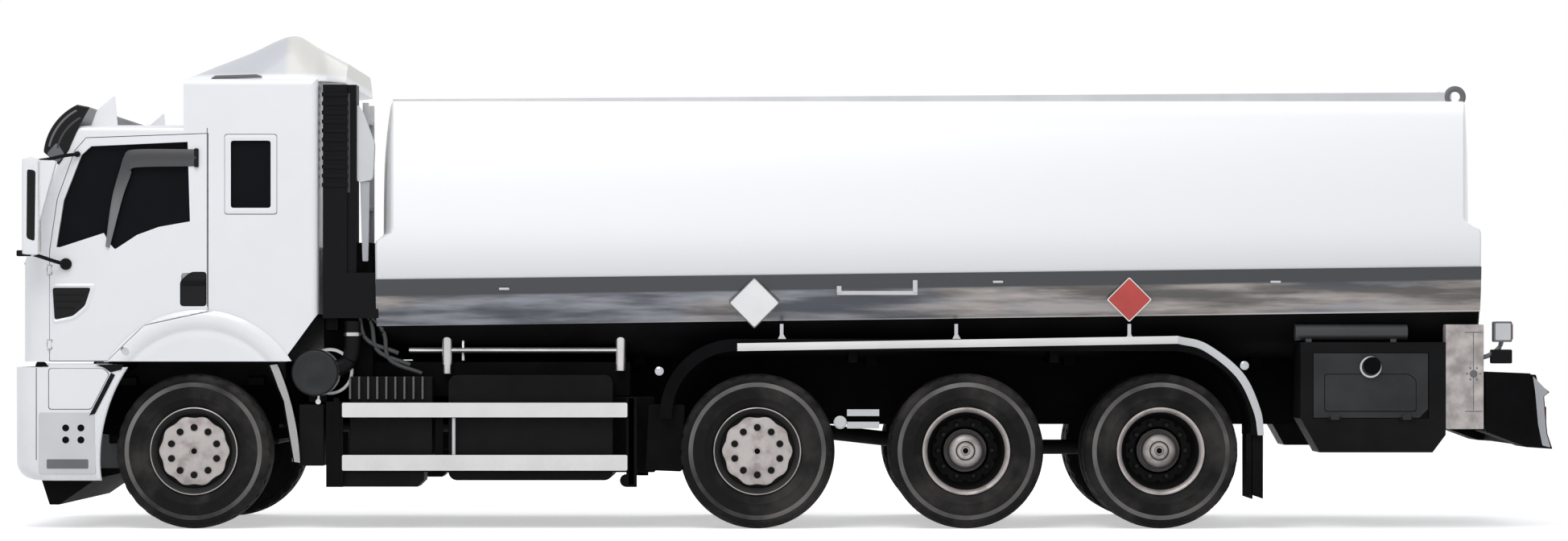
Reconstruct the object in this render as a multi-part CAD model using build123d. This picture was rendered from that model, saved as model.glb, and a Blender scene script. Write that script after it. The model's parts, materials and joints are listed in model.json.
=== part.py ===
from build123d import *

import math
import os

# A four-axle road tanker with a tilting cab over its engine.
# +X runs to the tail, +Z is up, and the driver's side is -Y.
# The origin is on the ground, under the middle of the length. Sizes are in millimetres.
# Pieces that come in pairs are drawn on the +Y side and mirrored.

# ---------------------------------------------------------------- whole truck
overall_length = 10530
body_half_width = 1240
front_x = -overall_length / 2
rear_x = overall_length / 2
turning_gap = 0.3
seat_gap = 0.3

# ---------------------------------------------------------------- wheels and axles
front_overhang = 1235
second_axle_to_tail = 5440
second_to_third_axle = 1430
third_to_fourth_axle = 1330
steer_axle_x = front_x + front_overhang
second_axle_x = rear_x - second_axle_to_tail
third_axle_x = second_axle_x + second_to_third_axle
fourth_axle_x = third_axle_x + third_to_fourth_axle
tyre_radius = 530
tyre_sides = 30
tyre_width = 290
tread_half_width = 115
wheel_outer_y = body_half_width - 5
twin_pitch = 330
wheel_plane_y = wheel_outer_y - tyre_width / 2
inner_plane_y = wheel_plane_y - twin_pitch
bead_radius = 285
bead_half_width = 105.7
flange_radius = 300
flange_thickness = 12
rim_wall = 20
disc_thickness = 20
hub_radius = 95
spindle_radius = 45
cover_radius = 240
cover_depth = 45
drive_hub_radius = 160
drive_spindle_radius = 62
kingpin_inset = 220
kingpin_y = wheel_plane_y - kingpin_inset
kingpin_radius = 22
kingpin_boss_radius = 48
kingpin_boss_height = 120
yoke_plate = 40
steer_beam_width = 90
steer_beam_height = 110
steer_beam_drop = 40

# ---------------------------------------------------------------- chassis frame
rail_front_x = front_x + 185
rail_rear_x = rear_x - 215
rail_outer_y = 430
rail_flange = 85
rail_wall = 9
rail_bottom_z = 700
rail_height = 270
first_crossmember_x = rail_front_x + 120
second_crossmember_x = rail_front_x + 1930
last_crossmember_x = rail_rear_x - 110
crossmember_bays = 8
stand_top_z = 1440
crossmember_depth = 80
crossmember_height = 150
subframe_height = 195
saddle_half_width = 630
saddle_thickness = 80

# ---------------------------------------------------------------- tank
tank_front_setback = 2457
tank_rear_inset = 472
tank_front_x = front_x + tank_front_setback
tank_rear_x = rear_x - tank_rear_inset
tank_half_width = body_half_width
tank_side_bulge = 110
tank_corner_y = tank_half_width - tank_side_bulge
subframe_front_x = tank_front_x + 208
subframe_rear_x = tank_rear_x - 153
tank_bottom_z = 1150
tank_top_z = 2890
tank_corner_inset_z = 250
tank_corner_radius = 420
tank_wall = 8
head_depth = 160
band_thickness = 6
band_gap = 0.3
band_front_low_z = tank_bottom_z + 220
band_front_high_z = tank_bottom_z + 440
band_rear_low_z = tank_bottom_z + 286
band_rear_high_z = tank_bottom_z + 555
coaming_y = 520
coaming_thickness = 14
coaming_height = 75
coaming_top_z = tank_top_z + coaming_height
coaming_front_x = tank_front_x + 148
coaming_rear_x = tank_rear_x - 203
coaming_ring_radius = 77
coaming_ring_wall = 20
lid_radius = 265
lid_thickness = 30
walkway_front_x = coaming_front_x + 60
walkway_rear_x = coaming_rear_x - 90
walkway_cells = 8
lid_cells = (1, 4, 6)
neck_radius = 250
neck_height = 45
neck_top_z = tank_top_z + neck_height
lid_pin_radius = 9
lid_pin_reach = 45

# ---------------------------------------------------------------- sides and tail
guard_front_x = second_axle_x - 664
guard_rear_x = fourth_axle_x + 696
guard_front_low_z = 754
guard_rear_low_z = 638
guard_top_z = 1298
guard_lip = 75
guard_sheet = 8
guard_inner_y = inner_plane_y - tyre_width / 2 + 25
flap_low_z = 204
tow_plate_z = 800
tow_spacing_y = 160
tow_spacing_z = 100
tow_hole_radius = 10.5
intake_front_x = front_x + 2115
intake_top_z = 3040
cabinet_front_x = rear_x - 1726
cabinet_rear_x = rear_x - 735
cabinet_low_z = 522
cabinet_high_z = 1276
cabinet_inner_y = body_half_width - 410
cabinet_wall = 25
door_front_x = cabinet_front_x + 83
door_rear_x = cabinet_rear_x - 116
door_low_z = 754
door_high_z = 1205
flap_hinge_radius = 9
flap_pin_radius = 4

# ---------------------------------------------------------------- cab
cab_half_width = body_half_width
cab_wall = 50
cab_floor_z = 1144
cab_setback = 65
cab_length = 2020
cab_front_x = front_x + cab_setback
cab_rear_x = cab_front_x + cab_length
cab_roof_z = 2760
cab_high_roof_z = 3080
cab_front_corner_radius = 130
cab_edge_radius = 48
tunnel_half_width = 400
tunnel_wall = 40
tunnel_top_z = 1490
tunnel_front_x = cab_front_x + 310
tunnel_rear_x = cab_rear_x - 220
pivot_x = front_x + 136
pivot_z = 700
pivot_pin_radius = 25
pivot_arm_y = 470
pivot_arm_thickness = 80
door_thickness = 55
door_gap = 5
door_hinge_x = cab_front_x + 189.5
door_hinge_radius = 14
door_pin_radius = 8
door_hinge_levels = (1230, 1740)
glass_thickness = 6
fairing_half_width = cab_half_width - 60
mirror_standoff = 140
seat_width = 480
seat_y = 700
wheel_rim_radius = 220

# ---------------------------------------------------------------- engine and steps
engine_front_x = steer_axle_x - 720
engine_length = 1200
engine_half_width = 330
engine_bottom_z = 560
engine_top_z = 1380
bumper_wall = 30
bumper_bottom_z = 330
bumper_top_z = 1105
bumper_rear_x = front_x + 659
bumper_corner_radius = 180
tow_socket_y = 330
tow_socket_z = 600
tow_socket_radius = 20
tow_socket_depth = 150

# ---------------------------------------------------------------- worked out
axle_z = tyre_radius
rail_top_z = rail_bottom_z + rail_height
rail_inner_y = rail_outer_y - rail_flange
rim_half_width = bead_half_width + seat_gap + flange_thickness
rim_bore_radius = bead_radius - rim_wall
subframe_bottom_z = rail_top_z + seat_gap
subframe_top_z = subframe_bottom_z + subframe_height
engine_rear_x = engine_front_x + engine_length
head_radius = (tank_half_width ** 2 + head_depth ** 2) / (2 * head_depth)


# ---------------------------------------------------------------- helpers
def block(x0, x1, y0, y1, z0, z1):
    """Box between two opposite corners."""
    centre = Pos((x0 + x1) / 2, (y0 + y1) / 2, (z0 + z1) / 2)
    return centre * Box(abs(x1 - x0), abs(y1 - y0), abs(z1 - z0))


def outline(points, radius=0):
    """Closed flat outline, with its corners rounded if a radius is given."""
    face = make_face(Polyline(*points, close=True))
    if radius:
        face = fillet(face.vertices(), radius)
    return face


def along_y(face, y0, y1):
    """Prism of an X-Z outline between two Y values."""
    return Pos(0, y1, 0) * extrude(Plane.XZ * face, amount=y1 - y0)


def along_x(face, x0, x1):
    """Prism of a Y-Z outline between two X values."""
    return Pos(x0, 0, 0) * extrude(Plane.YZ * face, amount=x1 - x0)


def along_z(face, z0, z1):
    """Prism of an X-Y outline between two Z values."""
    return Pos(0, 0, z0) * extrude(face, amount=z1 - z0)


def rod_y(x, z, radius, y0, y1):
    """Round bar across the truck."""
    return Pos(x, (y0 + y1) / 2, z) * Rot(90, 0, 0) * Cylinder(radius, abs(y1 - y0))


def rod_x(y, z, radius, x0, x1):
    """Round bar along the truck."""
    return Pos((x0 + x1) / 2, y, z) * Rot(0, 90, 0) * Cylinder(radius, abs(x1 - x0))


def rod_z(x, y, radius, z0, z1):
    """Upright round bar."""
    return Pos(x, y, (z0 + z1) / 2) * Cylinder(radius, abs(z1 - z0))


def ring_y(inner_radius, outer_radius, y0, y1):
    """Round ring about the Y axis."""
    return rod_y(0, 0, outer_radius, y0, y1) - rod_y(0, 0, inner_radius, y0 - 1, y1 + 1)


def bar(start, end, radius):
    """Round bar between two points."""
    path = Line(start, end)
    return sweep(Plane(origin=start, z_dir=path % 0) * Circle(radius), path=path)


def mirrored(shape):
    """The same piece on the other side of the truck."""
    return mirror(shape, about=Plane.XZ)


def both_sides(shape):
    """The piece and its mirror image, as two solids."""
    return group([shape, mirrored(shape)])


def group(shapes):
    """Solids that share a node without touching."""
    return Compound([solid for shape in shapes for solid in shape.solids()])


parts = {}


def keep(node, shape):
    """Store the solids of one node."""
    parts[node] = Compound(shape.solids())


# ---------------------------------------------------------------- wheels
def tyre():
    """Tyre about the Y axis in flat facets, so that the truck parks on a flat."""
    half = tyre_width / 2
    widest_radius = 0.85 * tyre_radius
    bead = bead_radius + seat_gap
    section = outline(
        (
            (bead, -bead_half_width),
            (flange_radius, -bead_half_width),
            (widest_radius, -half),
            (tyre_radius, -tread_half_width),
            (tyre_radius, tread_half_width),
            (widest_radius, half),
            (flange_radius, bead_half_width),
            (bead, bead_half_width),
        )
    )
    half_angle = math.pi / tyre_sides
    reach = 1.2 * tyre_radius
    spread = reach * math.tan(half_angle)
    slice_of_pie = along_y(outline(((0, 0), (reach, -spread), (reach, spread))), -tyre_width, tyre_width)
    facet = extrude(section, amount=spread, both=True) & slice_of_pie
    # half a facet of turn puts a flat under the hub
    facets = [Rot(0, 90 + turn * 360 / tyre_sides, 0) * facet for turn in range(tyre_sides)]
    return Part() + facets


def rim_barrel(y):
    """Barrel of one rim with its two flanges."""
    barrel = ring_y(rim_bore_radius, bead_radius, y - rim_half_width, y + rim_half_width)
    for side in (-1, 1):
        outer = y + side * rim_half_width
        inner = outer - side * flange_thickness
        barrel += ring_y(rim_bore_radius, flange_radius, min(outer, inner), max(outer, inner))
    return barrel


def single_rim():
    """Wheel with its face near the outside and a domed cover."""
    face_y = rim_half_width - cover_depth
    hub_inner_y = -rim_half_width + disc_thickness
    rim = rim_barrel(0)
    rim += ring_y(hub_radius - 1, rim_bore_radius + 1, face_y - disc_thickness, face_y)
    rim += ring_y(spindle_radius + turning_gap, hub_radius, hub_inner_y, face_y)
    dome = outline(
        (
            (0, face_y - disc_thickness / 2),
            (cover_radius, face_y - disc_thickness / 2),
            (cover_radius, face_y + 10),
            (hub_radius, face_y + cover_depth),
            (0, face_y + cover_depth),
        )
    )
    cover = revolve(dome, Axis.Y)
    return rim + cover


def twin_rim():
    """Two rims bolted back to back on one drive hub."""
    joint_y = -twin_pitch / 2
    hub_inner_y = -twin_pitch - rim_half_width + disc_thickness
    cap_y = -rim_half_width / 2
    rim = rim_barrel(0) + rim_barrel(-twin_pitch)
    reach = rim_half_width - 1
    rim += ring_y(rim_bore_radius, bead_radius, -twin_pitch + reach, -reach)
    rim += ring_y(
        drive_hub_radius - 1,
        rim_bore_radius + 1,
        joint_y - disc_thickness,
        joint_y + disc_thickness,
    )
    rim += ring_y(drive_spindle_radius + turning_gap, drive_hub_radius, hub_inner_y, cap_y)
    return rim + rod_y(0, 0, drive_hub_radius - 50, cap_y - 10, cap_y + 60)


def make_wheels():
    """Eight wheel sets: one tyre each on the front two axles, two on the rear two."""
    one_tyre = tyre()
    two_tyres = group([one_tyre, Pos(0, -twin_pitch, 0) * tyre()])
    # columns: name, axle X, tyre shape, rim shape
    axles = (
        ("front", steer_axle_x, one_tyre, single_rim()),
        ("second", second_axle_x, one_tyre, single_rim()),
        ("third", third_axle_x, two_tyres, twin_rim()),
        ("fourth", fourth_axle_x, two_tyres, twin_rim()),
    )
    for name, x, rubber, metal in axles:
        place = Pos(x, wheel_plane_y, axle_z)
        for kind, shape in (("tyre", rubber), ("rim", metal)):
            right = place * shape
            keep(f"{kind}_{name}_right", right)
            keep(f"{kind}_{name}_left", mirrored(right))


def make_front_axle():
    """Dropped steering beam with a kingpin boss at each end, and the two knuckles."""
    half = steer_beam_width / 2
    end_y = kingpin_y
    knee_y = kingpin_y - 270
    end_low = axle_z - steer_beam_height / 2 + 5
    end_high = axle_z + steer_beam_height / 2 - 5
    section = outline(
        (
            (-end_y, end_high),
            (-knee_y, end_high - steer_beam_drop),
            (knee_y, end_high - steer_beam_drop),
            (end_y, end_high),
            (end_y, end_low),
            (knee_y, end_low - steer_beam_drop),
            (-knee_y, end_low - steer_beam_drop),
            (-end_y, end_low),
        )
    )
    beam = along_x(section, steer_axle_x - half, steer_axle_x + half)
    boss_low = axle_z - kingpin_boss_height / 2
    boss_high = axle_z + kingpin_boss_height / 2
    for side in (-1, 1):
        beam += rod_z(steer_axle_x, side * kingpin_y, kingpin_boss_radius, boss_low, boss_high)
    for side in (-1, 1):
        bore = kingpin_radius + turning_gap
        beam -= rod_z(steer_axle_x, side * kingpin_y, bore, boss_low - 1, boss_high + 1)
    keep("front_axle", beam)

    plate_half = kingpin_boss_radius + 2
    web_in = kingpin_y + kingpin_boss_radius + 7
    web_out = web_in + 30
    low = boss_low - 2 - yoke_plate
    high = boss_high + 2 + yoke_plate
    x0 = steer_axle_x - plate_half
    x1 = steer_axle_x + plate_half
    knuckle = block(x0, x1, web_in, web_out, low, high)
    knuckle += block(x0, x1, kingpin_y - plate_half, web_out, low, low + yoke_plate)
    knuckle += block(x0, x1, kingpin_y - plate_half, web_out, high - yoke_plate, high)
    knuckle += rod_z(steer_axle_x, kingpin_y, kingpin_radius, low, high)
    spindle_end = wheel_plane_y + rim_half_width - cover_depth - disc_thickness
    knuckle += rod_y(steer_axle_x, axle_z, spindle_radius, web_out - 1, spindle_end)
    keep("knuckle_right", knuckle)
    keep("knuckle_left", mirrored(knuckle))


def make_rear_axles():
    """Plain second axle, two drive axles and the shafts between them."""
    beam_half = 55
    stub_end = wheel_plane_y + rim_half_width - cover_depth - disc_thickness
    collar_y = wheel_plane_y - rim_half_width
    second = block(
        second_axle_x - beam_half,
        second_axle_x + beam_half,
        -collar_y,
        collar_y,
        axle_z - beam_half,
        axle_z + beam_half,
    )
    second += rod_y(second_axle_x, axle_z, spindle_radius, -stub_end, stub_end)
    keep("second_axle", second)

    housing_radius = 85
    case_radius = 205
    case_half = 150
    drive_end = wheel_plane_y - rim_half_width / 2 - 20
    inner_end = inner_plane_y - rim_half_width
    line = None
    for x in (third_axle_x, fourth_axle_x):
        axle = rod_y(x, axle_z, housing_radius, -inner_end, inner_end)
        axle += rod_y(x, axle_z, drive_spindle_radius, -drive_end, drive_end)
        axle += rod_y(x, axle_z, case_radius, -case_half, case_half)
        for side in (-1, 1):
            pad = side * (rail_outer_y + rail_inner_y) / 2
            axle += block(x - 100, x + 100, pad - 60, pad + 60, axle_z, axle_z + housing_radius + 25)
        line = axle if line is None else line + axle
    shaft_radius = 52
    high_z = rail_bottom_z - 10
    start = engine_rear_x + seat_gap
    bend_x = second_axle_x
    line += bar((bend_x, 0, high_z), (third_axle_x, 0, axle_z), shaft_radius)
    line += rod_x(0, high_z, shaft_radius, start, bend_x + 10)
    line += rod_x(0, axle_z, shaft_radius, third_axle_x, fourth_axle_x)
    keep("drive_line", line)


def make_suspension():
    """Leaf packs on the steered axle and air bellows on the other three."""
    middle = (rail_outer_y + rail_inner_y) / 2
    beam_top = axle_z + steer_beam_height / 2 - 5 - steer_beam_drop
    leaf_low = beam_top + seat_gap
    leaf = outline(
        (
            (steer_axle_x - 800, rail_bottom_z - seat_gap),
            (steer_axle_x - 800, rail_bottom_z - 60),
            (steer_axle_x - 120, leaf_low),
            (steer_axle_x + 120, leaf_low),
            (steer_axle_x + 800, rail_bottom_z - 60),
            (steer_axle_x + 800, rail_bottom_z - seat_gap),
            (steer_axle_x + 730, rail_bottom_z - seat_gap),
            (steer_axle_x + 120, leaf_low + 90),
            (steer_axle_x - 120, leaf_low + 90),
            (steer_axle_x - 730, rail_bottom_z - seat_gap),
        )
    )
    springs = [along_y(leaf, middle - 37, middle + 37)]
    # columns: axle X, height of the pad under the bellows
    seats = (
        (second_axle_x, axle_z + 55),
        (third_axle_x, axle_z + 110),
        (fourth_axle_x, axle_z + 110),
    )
    for x, z in seats:
        springs.append(rod_z(x, middle, 100, z + seat_gap, rail_bottom_z - seat_gap))
    keep("suspension", group([both_sides(spring) for spring in springs]))


# ---------------------------------------------------------------- chassis frame
def make_chassis_frame():
    """Two channel rails with crossmembers, the cab's pivot pins and its rear stand."""
    rail = block(rail_front_x, rail_rear_x, rail_outer_y - rail_wall, rail_outer_y, rail_bottom_z, rail_top_z)
    rail += block(rail_front_x, rail_rear_x, rail_inner_y, rail_outer_y, rail_bottom_z, rail_bottom_z + rail_wall)
    rail += block(rail_front_x, rail_rear_x, rail_inner_y, rail_outer_y, rail_top_z - rail_wall, rail_top_z)
    plate_out = rail_outer_y + 30
    rail += block(pivot_x - 50, pivot_x + 110, rail_outer_y - rail_wall, plate_out, pivot_z - 60, pivot_z + 100)
    pin_end = pivot_arm_y + pivot_arm_thickness + 15
    rail += rod_y(pivot_x, pivot_z, pivot_pin_radius, plate_out - 10, pin_end)
    rail += block(front_x + 1785, front_x + 1865, rail_inner_y, 520, rail_top_z - 1, cab_floor_z - seat_gap)
    stand_x0 = rail_front_x + 1950
    stand_x1 = stand_x0 + 80
    rail += block(stand_x0, stand_x1, rail_inner_y, rail_outer_y, rail_top_z - 1, stand_top_z - 20)
    frame = rail + mirrored(rail)
    frame += block(stand_x0, stand_x1, -body_half_width + 90, body_half_width - 90, stand_top_z - 80, stand_top_z)
    web_y = rail_outer_y - rail_wall + 1
    middle_z = rail_bottom_z + rail_height / 2 + 10
    half_height = crossmember_height / 2
    pitch = (last_crossmember_x - second_crossmember_x) / crossmember_bays
    stations = [second_crossmember_x + bay * pitch for bay in range(crossmember_bays + 1)]
    for x in [first_crossmember_x] + stations:
        frame += block(
            x - crossmember_depth / 2,
            x + crossmember_depth / 2,
            -web_y,
            web_y,
            middle_z - half_height,
            middle_z + half_height,
        )
    keep("chassis_frame", frame)


def make_engine():
    """Plain engine block with the lugs that stand on the rails."""
    engine = block(engine_front_x, engine_rear_x, -engine_half_width, engine_half_width, engine_bottom_z, engine_top_z)
    lug_low = rail_top_z + seat_gap
    for x in (engine_front_x + 150, engine_rear_x - 150):
        engine += block(x - 60, x + 60, -rail_outer_y, rail_outer_y, lug_low, lug_low + 60)
    keep("engine_block", engine)


def make_front_bumper():
    """Deep bumper wrapped round the corners, with lamp pockets and the entry steps."""
    plan = make_face(
        Polyline(
            (front_x, -body_half_width),
            (bumper_rear_x, -body_half_width),
            (bumper_rear_x, body_half_width),
            (front_x, body_half_width),
            close=True,
        )
    )
    corners = plan.vertices().sort_by(Axis.X)[:2]
    outer = fillet(corners, bumper_corner_radius)
    shell = along_z(outer, bumper_bottom_z, bumper_top_z)
    hollow_plan = make_face(
        Polyline(
            (front_x + bumper_wall, -body_half_width + bumper_wall),
            (bumper_rear_x + 1, -body_half_width + bumper_wall),
            (bumper_rear_x + 1, body_half_width - bumper_wall),
            (front_x + bumper_wall, body_half_width - bumper_wall),
            close=True,
        )
    )
    inner_corners = hollow_plan.vertices().sort_by(Axis.X)[:2]
    hollow = fillet(inner_corners, bumper_corner_radius - bumper_wall)
    shell -= along_z(hollow, bumper_bottom_z - 1, bumper_top_z + 1)
    profile = outline(
        (
            (front_x, bumper_bottom_z + 60),
            (front_x + 40, bumper_bottom_z),
            (bumper_rear_x + 40, bumper_bottom_z),
            (bumper_rear_x + 40, bumper_top_z),
            (front_x + 25, bumper_top_z),
            (front_x, bumper_top_z - 120),
        )
    )
    shell &= along_y(profile, -body_half_width - 1, body_half_width + 1)
    step_x0, step_x1, step_z0, step_z1 = front_x + 219, front_x + 548, 396, 797
    lamp_y1, lamp_z0, lamp_z1 = body_half_width - 200, 800, 960
    lamp_y0 = lamp_y1 - 280
    for side in (-1, 1):
        outer_y = side * (body_half_width + 1)
        inner_y = side * (body_half_width - bumper_wall - 1)
        shell -= block(step_x0, step_x1, min(outer_y, inner_y), max(outer_y, inner_y), step_z0, step_z1)
        near = side * lamp_y0
        far = side * lamp_y1
        shell -= block(front_x - 1, front_x + 80, min(near, far), max(near, far), lamp_z0, lamp_z1)
    reach = rail_outer_y - rail_wall - 6
    for z in (rail_bottom_z - 10, rail_top_z - 20):
        shell += block(front_x + bumper_wall - 2, rail_front_x - seat_gap, -reach, reach, z, z + 30)
    for y in (-tow_socket_y, tow_socket_y):
        shell += block(front_x + bumper_wall - 2, front_x + tow_socket_depth, y - 45, y + 45, tow_socket_z - 45, tow_socket_z + 45)
        shell -= rod_x(y, tow_socket_z, tow_socket_radius, front_x - 1, front_x + tow_socket_depth + 1)
    floor_y = body_half_width - bumper_wall / 2
    shell += block(front_x + bumper_wall / 2, front_x + 305, -floor_y, floor_y, bumper_bottom_z, bumper_bottom_z + 20)

    lip = body_half_width - bumper_wall
    steps = block(step_x0, step_x1, lip - 160, lip, step_z0, step_z1)
    steps -= block(step_x0 + 12, step_x1 - 12, lip - 150, lip + 1, step_z0 + 12, step_z0 + 190)
    steps -= block(step_x0 + 12, step_x1 - 12, lip - 150, lip + 1, step_z0 + 210, step_z1 - 12)
    keep("cab_steps", both_sides(steps))

    valance = outline(((front_x + 181, bumper_bottom_z - seat_gap), (front_x + 241, 160), (front_x + 305, 160), (front_x + 565, bumper_bottom_z - seat_gap)))
    keep("front_bumper", group([shell, along_y(valance, -body_half_width + 140, body_half_width - 140)]))

    lamp_gap = seat_gap
    lamp = block(
        front_x + 6,
        front_x + 90,
        lamp_y0 + lamp_gap,
        lamp_y1 - lamp_gap,
        lamp_z0 + lamp_gap,
        lamp_z1 - lamp_gap,
    )
    return lamp


# ---------------------------------------------------------------- tank
def circle_crossing(centre_a, radius_a, centre_b, radius_b):
    """Upper right point where two circles of the cross-section meet."""
    dy, dz = centre_b[0] - centre_a[0], centre_b[1] - centre_a[1]
    gap = math.hypot(dy, dz)
    along = (gap ** 2 + radius_a ** 2 - radius_b ** 2) / (2 * gap)
    across = math.sqrt(radius_a ** 2 - along ** 2)
    foot = (centre_a[0] + dy * along / gap, centre_a[1] + dz * along / gap)
    candidates = (
        (foot[0] - dz * across / gap, foot[1] + dy * across / gap),
        (foot[0] + dz * across / gap, foot[1] - dy * across / gap),
    )
    return max(candidates)


def tank_section(grow=0):
    """Cross-section of the barrel: four shallow arcs with rounded corners."""
    middle_z = (tank_top_z + tank_bottom_z) / 2
    rise = tank_corner_inset_z
    crown_radius = (tank_corner_y ** 2 + rise ** 2) / (2 * rise)
    side_run = tank_top_z - rise - middle_z
    side_bulge = tank_half_width - tank_corner_y
    side_radius = (side_run ** 2 + side_bulge ** 2) / (2 * side_bulge)
    crown_centre = (0, tank_top_z - crown_radius)
    side_centre = (tank_half_width - side_radius, middle_z)
    corner, high = circle_crossing(crown_centre, crown_radius + grow, side_centre, side_radius + grow)
    low = 2 * middle_z - high
    wide = tank_half_width + grow
    arcs = Curve() + [
        ThreePointArc((-corner, high), (0, tank_top_z + grow), (corner, high)),
        ThreePointArc((corner, high), (wide, middle_z), (corner, low)),
        ThreePointArc((corner, low), (0, tank_bottom_z - grow), (-corner, low)),
        ThreePointArc((-corner, low), (-wide, middle_z), (-corner, high)),
    ]
    face = make_face(arcs)
    return fillet(face.vertices(), tank_corner_radius + grow)


def tank_body(grow=0):
    """Barrel with two dished heads, larger all round by the given amount."""
    barrel = along_x(tank_section(grow), tank_front_x - grow, tank_rear_x + grow)
    ball = Sphere(head_radius + grow)
    front_ball = Pos(tank_front_x + head_radius, 0, (tank_top_z + tank_bottom_z) / 2) * ball
    rear_ball = Pos(tank_rear_x - head_radius, 0, (tank_top_z + tank_bottom_z) / 2) * ball
    return barrel & front_ball & rear_ball


def make_tank():
    """Closed barrel, the polished bands on its lower sides and its saddles."""
    keep("tank_shell", tank_body() - tank_body(-tank_wall))

    band_front_x = tank_front_x + head_depth + 10
    band_rear_x = tank_rear_x - head_depth - 10
    ring = along_x(tank_section(band_gap + band_thickness), band_front_x, band_rear_x)
    ring -= along_x(tank_section(band_gap), band_front_x - 1, band_rear_x + 1)
    strip = outline(
        (
            (band_front_x, band_front_low_z),
            (band_rear_x, band_rear_low_z),
            (band_rear_x, band_rear_high_z),
            (band_front_x, band_front_high_z),
        )
    )
    band = ring & along_y(strip, 0, tank_half_width + 50)
    keep("tank_bands", both_sides(band))

    beams = block(subframe_front_x, subframe_rear_x, rail_inner_y, rail_outer_y, subframe_bottom_z, subframe_top_z)
    subframe = beams + mirrored(beams)
    saddle_low = subframe_top_z - 60
    saddles = (
        tank_front_x + 508,
        guard_front_x - 161,
        second_axle_x + 795,
        third_axle_x + 745,
        fourth_axle_x + 715,
        tank_rear_x - 293,
    )
    for x in saddles:
        subframe += block(
            x - saddle_thickness / 2,
            x + saddle_thickness / 2,
            -saddle_half_width,
            saddle_half_width,
            saddle_low,
            saddle_low + 260,
        )
    keep("tank_subframe", subframe - tank_body(seat_gap))


def walkway_bars():
    """X of each cross bar between the coaming rails."""
    cell = (walkway_rear_x - walkway_front_x) / walkway_cells
    return [walkway_front_x + number * cell for number in range(walkway_cells + 1)]


def make_tank_top():
    """Coaming rails with cross bars, and the necks that carry the lids."""
    keep_clear = tank_body(seat_gap)
    low = tank_top_z - 80
    rails = None
    for side in (-1, 1):
        inner = side * coaming_y
        outer = side * (coaming_y + coaming_thickness)
        rail = block(coaming_front_x, coaming_rear_x, min(inner, outer), max(inner, outer), low, coaming_top_z)
        ring_z = coaming_top_z - coaming_ring_radius + 60
        disc = rod_y(coaming_rear_x, ring_z, coaming_ring_radius, min(inner, outer), max(inner, outer))
        hole = rod_y(
            coaming_rear_x,
            ring_z,
            coaming_ring_radius - coaming_ring_wall,
            min(inner, outer) - 1,
            max(inner, outer) + 1,
        )
        rail = rail + disc - hole
        rails = rail if rails is None else rails + rail
    for x in walkway_bars():
        rails += block(x - 20, x + 20, -coaming_y - 1, coaming_y + 1, low + 60, coaming_top_z - 30)
    return rails - keep_clear


def make_lids():
    """Three round lids, each hinged behind its neck."""
    keep_clear = tank_body(seat_gap)
    pin_z = neck_top_z + lid_thickness / 2
    necks = []
    bars = walkway_bars()
    for number, cell in enumerate(lid_cells, start=1):
        x = (bars[cell] + bars[cell + 1]) / 2
        pin_x = x + lid_radius + lid_pin_reach
        neck = rod_z(x, 0, neck_radius, tank_top_z - 60, neck_top_z)
        for y in (-90, 70):
            neck += block(x, pin_x + 15, y, y + 20, neck_top_z - 60, neck_top_z)
            neck += block(pin_x - 15, pin_x + 15, y, y + 20, neck_top_z - 60, pin_z + 15)
        neck += rod_y(pin_x, pin_z, lid_pin_radius, -85, 85)
        necks.append(neck - keep_clear)
        lid_low = neck_top_z + seat_gap
        lid = rod_z(x, 0, lid_radius, lid_low, lid_low + lid_thickness)
        lid += block(x, pin_x, -60, 60, lid_low, lid_low + lid_thickness)
        lid += rod_y(pin_x, pin_z, lid_pin_radius + 12, -60, 60)
        lid -= rod_y(pin_x, pin_z, lid_pin_radius + turning_gap, -61, 61)
        keep(f"tank_lid_{number}", lid)
    return necks


# ---------------------------------------------------------------- sides
def arch_face(inset, extra_drop=0):
    """Side view of the guard over the last three wheels, moved in by a distance."""
    front_low = (guard_front_x + inset, guard_front_low_z - extra_drop)
    front_mid = (guard_front_x + 99 + 0.8 * inset, guard_front_low_z + 330 - 0.6 * inset)
    front_top = (guard_front_x + 523, guard_top_z - inset)
    rear_top = (guard_rear_x - 638, guard_top_z - inset)
    rear_mid = (guard_rear_x - 138 - 0.8 * inset, guard_rear_low_z + 429 - 0.6 * inset)
    rear_low = (guard_rear_x - inset, guard_rear_low_z - extra_drop)
    edges = Curve() + [
        ThreePointArc(front_low, front_mid, front_top),
        Line(front_top, rear_top),
        ThreePointArc(rear_top, rear_mid, rear_low),
        Line(rear_low, front_low),
    ]
    return make_face(edges)


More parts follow.
